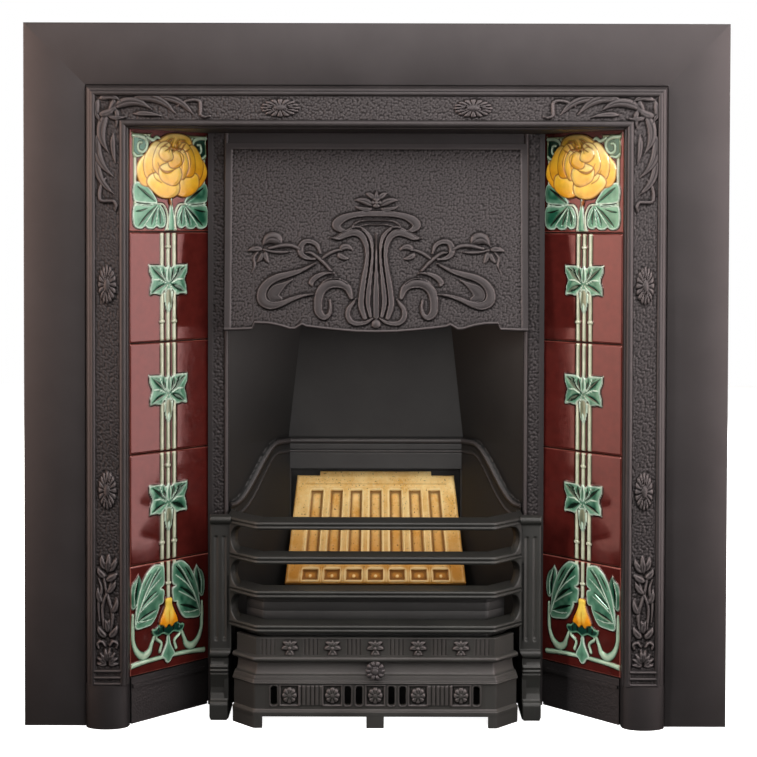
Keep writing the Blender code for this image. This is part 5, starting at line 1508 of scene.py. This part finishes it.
def buildKnob():
    bm = bmesh.new()
    turns = [2 * math.pi * i / knobDrawing["points"] for i in range(knobDrawing["points"])]
    stations = []
    for depth, reach in knobDrawing["stages"]:
        share = min(max((reach - knobDrawing["heart"]) / 2.0, 0.0), 1.0)
        ring = []
        for turn in turns:
            gap = share * (1 - abs(math.cos(knobDrawing["petals"] / 2 * turn))) ** 2
            swing = reach * (1 - knobDrawing["gap"] * gap)
            sink = knobDrawing["sink"] * gap if depth < knobDrawing["frontFrom"] else 0.0
            ring.append(spot(swing * math.cos(turn), depth + sink, knobDrawing["height"] + swing * math.sin(turn)))
        stations.append(ring)
    sweep(bm, stations)
    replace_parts(finishPiece(bm, "daisy_knob", polishedIron, 50.0), "ashpan_knob")
    print("knob cast")


buildKnob()


# The cheek castings keep their solid form

for name, _ in sides:
    slots = nodes[f"tile_slide_{name}"].data.materials
    slots.clear()
    slots.append(hammeredIron)


# Studio: a pale floor, soft boxes above and to both sides, two behind for the rear, and a glowing card beside
# each cheek, which only the glazes and the polished edges reflect

studio = {
    "floor": "f4f3f1", "floorCloud": 400.0, "floorSize": 9.0,
    # the floor under the insert is painted dark as shadow: its reach to each side, and its depths
    "shadowUnderInsert": "0b0a0a", "shade": (196.0, 62.0, 262.0), "shadeEdge": (4.0, 12.0, 40.0),
    # each card stands beside one cheek and is seen in the other: its colour, and its glow low down and high up
    "cardAcross": 820.0, "cardDepths": (-700.0, -20.0), "cardTop": 1700.0, "cardHeights": (150.0, 700.0),
    "cards": {"left": ("ffe3d4", 1.55, 4.2), "right": ("fff3f1", 3.4, 4.7)},
    # place, aim, size and watts
    "lights": {
        "key": ((0.45, -1.05, 1.85), (0.0, 0.0, 0.62), (1.1, 0.5), 10.0),
        "brow": ((0.0, -0.7, 1.9), (0.0, 0.1, 0.5), (1.2, 0.4), 3.0),
        "middle": ((-0.15, -1.6, 1.6), (0.0, 0.0, 0.45), (1.2, 0.5), 8.0),
        "right": ((1.5, -2.0, 1.1), (0.0, 0.0, 0.5), (1.5, 1.6), 36.0),
        "left": ((-1.9, -1.8, 1.4), (0.0, 0.0, 0.55), (0.5, 0.8), 46.0),
        "fill": ((-0.2, -2.9, 0.85), (0.0, 0.0, 0.5), (1.4, 1.0), 9.5),
        # these two reach only the back of the insert
        "backRight": ((1.6, 2.4, 1.5), (0.0, 0.2, 0.4), (1.4, 1.4), 90.0),
        "backLeft": ((-1.8, 2.2, 1.3), (0.0, 0.2, 0.4), (1.4, 1.4), 60.0),
    },
}


def depthAt(depth):
    return spot(0, depth, 0).y


def floorMaterial():
    # matt white paper, lit evenly, with a near-black painted shadow under the insert
    material, tree, place = newMaterial("pale_studio_floor")
    clouds = addNode(tree, "TexNoise", "Fac", {"Vector": place, "Scale": 1 / (studio["floorCloud"] * mm)})
    paper = layered(tree, rgb(studio["floor"]), ((clouds, 0.3, 0.7, 1.0, "ffffff"),))
    across = addNode(tree, "SeparateXYZ", "X", {"Vector": place})
    aside = addNode(tree, "Math", "Value", {"operation": "ABSOLUTE", 0: across})
    back = across.node.outputs["Y"]
    reach, near, far = studio["shade"]
    soft, softNear, softFar = studio["shadeEdge"]
    outside = 0.0
    for source, start, full in ((aside, (reach - soft) * mm, reach * mm),
                                (back, depthAt(near + softNear), depthAt(near)),
                                (back, depthAt(far - softFar), depthAt(far))):
        share = addNode(tree, "MapRange", "Result", {"Value": source, "From Min": start, "From Max": full})
        outside = addNode(tree, "Math", "Value", {"operation": "MAXIMUM", 0: outside, 1: share})
    # painted shadow: the floor under the insert turns near black
    colour = layered(tree, paper, ((outside, 1.0, 0.0, 1.0, studio["shadowUnderInsert"]),))
    return finishMaterial(material, {"Base Color": colour, "Roughness": 0.85, "Emission Color": paper,
                                     "Emission Strength": outside})


def cardMaterial(name, code, low, high):
    # white card with a warm tint, lit more strongly towards its top
    material, tree, place = newMaterial(name)
    height = addNode(tree, "SeparateXYZ", "Z", {"Vector": place})
    bottom, top = (z * mm for z in studio["cardHeights"])
    glow = addNode(tree, "MapRange", "Result", {"Value": height, "From Min": bottom, "From Max": top,
                                                "To Min": low, "To Max": high})
    return finishMaterial(material, {"Base Color": rgb(code), "Roughness": 0.9, "Emission Color": rgb(code),
                                     "Emission Strength": glow})


def stagePlane(name, corners, material):
    bm = bmesh.new()
    bm.faces.new([bm.verts.new(corner) for corner in corners])
    mesh = bpy.data.meshes.new(name)
    bm.to_mesh(mesh)
    bm.free()
    mesh.materials.append(material)
    plane = bpy.data.objects.new(name, mesh)
    bpy.context.scene.collection.objects.link(plane)
    return plane


def areaLight(name, place, aim, size, watts):
    light = bpy.data.lights.new(name, "AREA")
    light.shape = "RECTANGLE"
    light.size, light.size_y = size
    light.energy = watts
    lamp = bpy.data.objects.new(name, light)
    lamp.location = place
    lamp.rotation_mode = "QUATERNION"
    lamp.rotation_quaternion = (Vector(aim) - Vector(place)).to_track_quat("-Z", "Y")
    lamp.visible_camera = False
    bpy.context.scene.collection.objects.link(lamp)


def buildStudio():
    half = studio["floorSize"] / 2
    floor = stagePlane("floor", [(-half, -half, 0), (half, -half, 0), (half, half, 0), (-half, half, 0)],
                       floorMaterial())
    floor.visible_diffuse = floor.visible_glossy = False
    near, far = (depthAt(depth) for depth in studio["cardDepths"])
    for name, side in sides:
        x, top = side * studio["cardAcross"] * mm, studio["cardTop"] * mm
        card = stagePlane(f"card_{name}", [(x, near, 0), (x, far, 0), (x, far, top), (x, near, top)],
                          cardMaterial(f"white_card_{name}", *studio["cards"][name]))
        card.visible_camera = card.visible_diffuse = False
    for name, light in studio["lights"].items():
        areaLight(name, *light)
    # the air shows white and lights nothing
    world = bpy.data.worlds.new("studio_air")
    world.use_nodes = True
    bpy.context.scene.world = world
    tree = world.node_tree
    seen = addNode(tree, "LightPath", "Is Camera Ray", {})
    setNode(tree, tree.nodes["Background"], {"Color": (1, 1, 1, 1), "Strength": seen})
    bpy.context.scene.view_settings.view_transform = "Standard"


# the view, in the photo's pixels, and the eye's place in millimetres
photoFrame = {"side": 757.0, "focal": 1568.0, "axisAcross": 376.3, "horizon": 225.0, "shift": 0.155, "roll": 0.15,
              "distance": 2144.0, "eye": 690.0}


def buildCamera():
    # level with the hood, the frame shifted down as a shift lens does; the rest of the drop is a slight tilt
    camera = bpy.data.cameras.new("camera")
    camera.sensor_width = 36.0
    side, focal, shift = (photoFrame[key] for key in ("side", "focal", "shift"))
    camera.lens = focal * camera.sensor_width / side
    camera.shift_x = (side / 2 - photoFrame["axisAcross"]) / side
    camera.shift_y = -shift
    drop = side / 2 - photoFrame["horizon"] - shift * side
    eye = bpy.data.objects.new("camera", camera)
    eye.location = spot(0, -photoFrame["distance"], photoFrame["eye"])
    aim = Matrix.Rotation(math.pi / 2 - math.atan(drop / focal), 3, "X")
    eye.rotation_euler = (aim @ Matrix.Rotation(math.radians(photoFrame["roll"]), 3, "Z")).to_euler()
    camera.clip_end = 50.0
    bpy.context.scene.collection.objects.link(eye)
    bpy.context.scene.camera = eye


buildStudio()
buildCamera()
print("studio set")
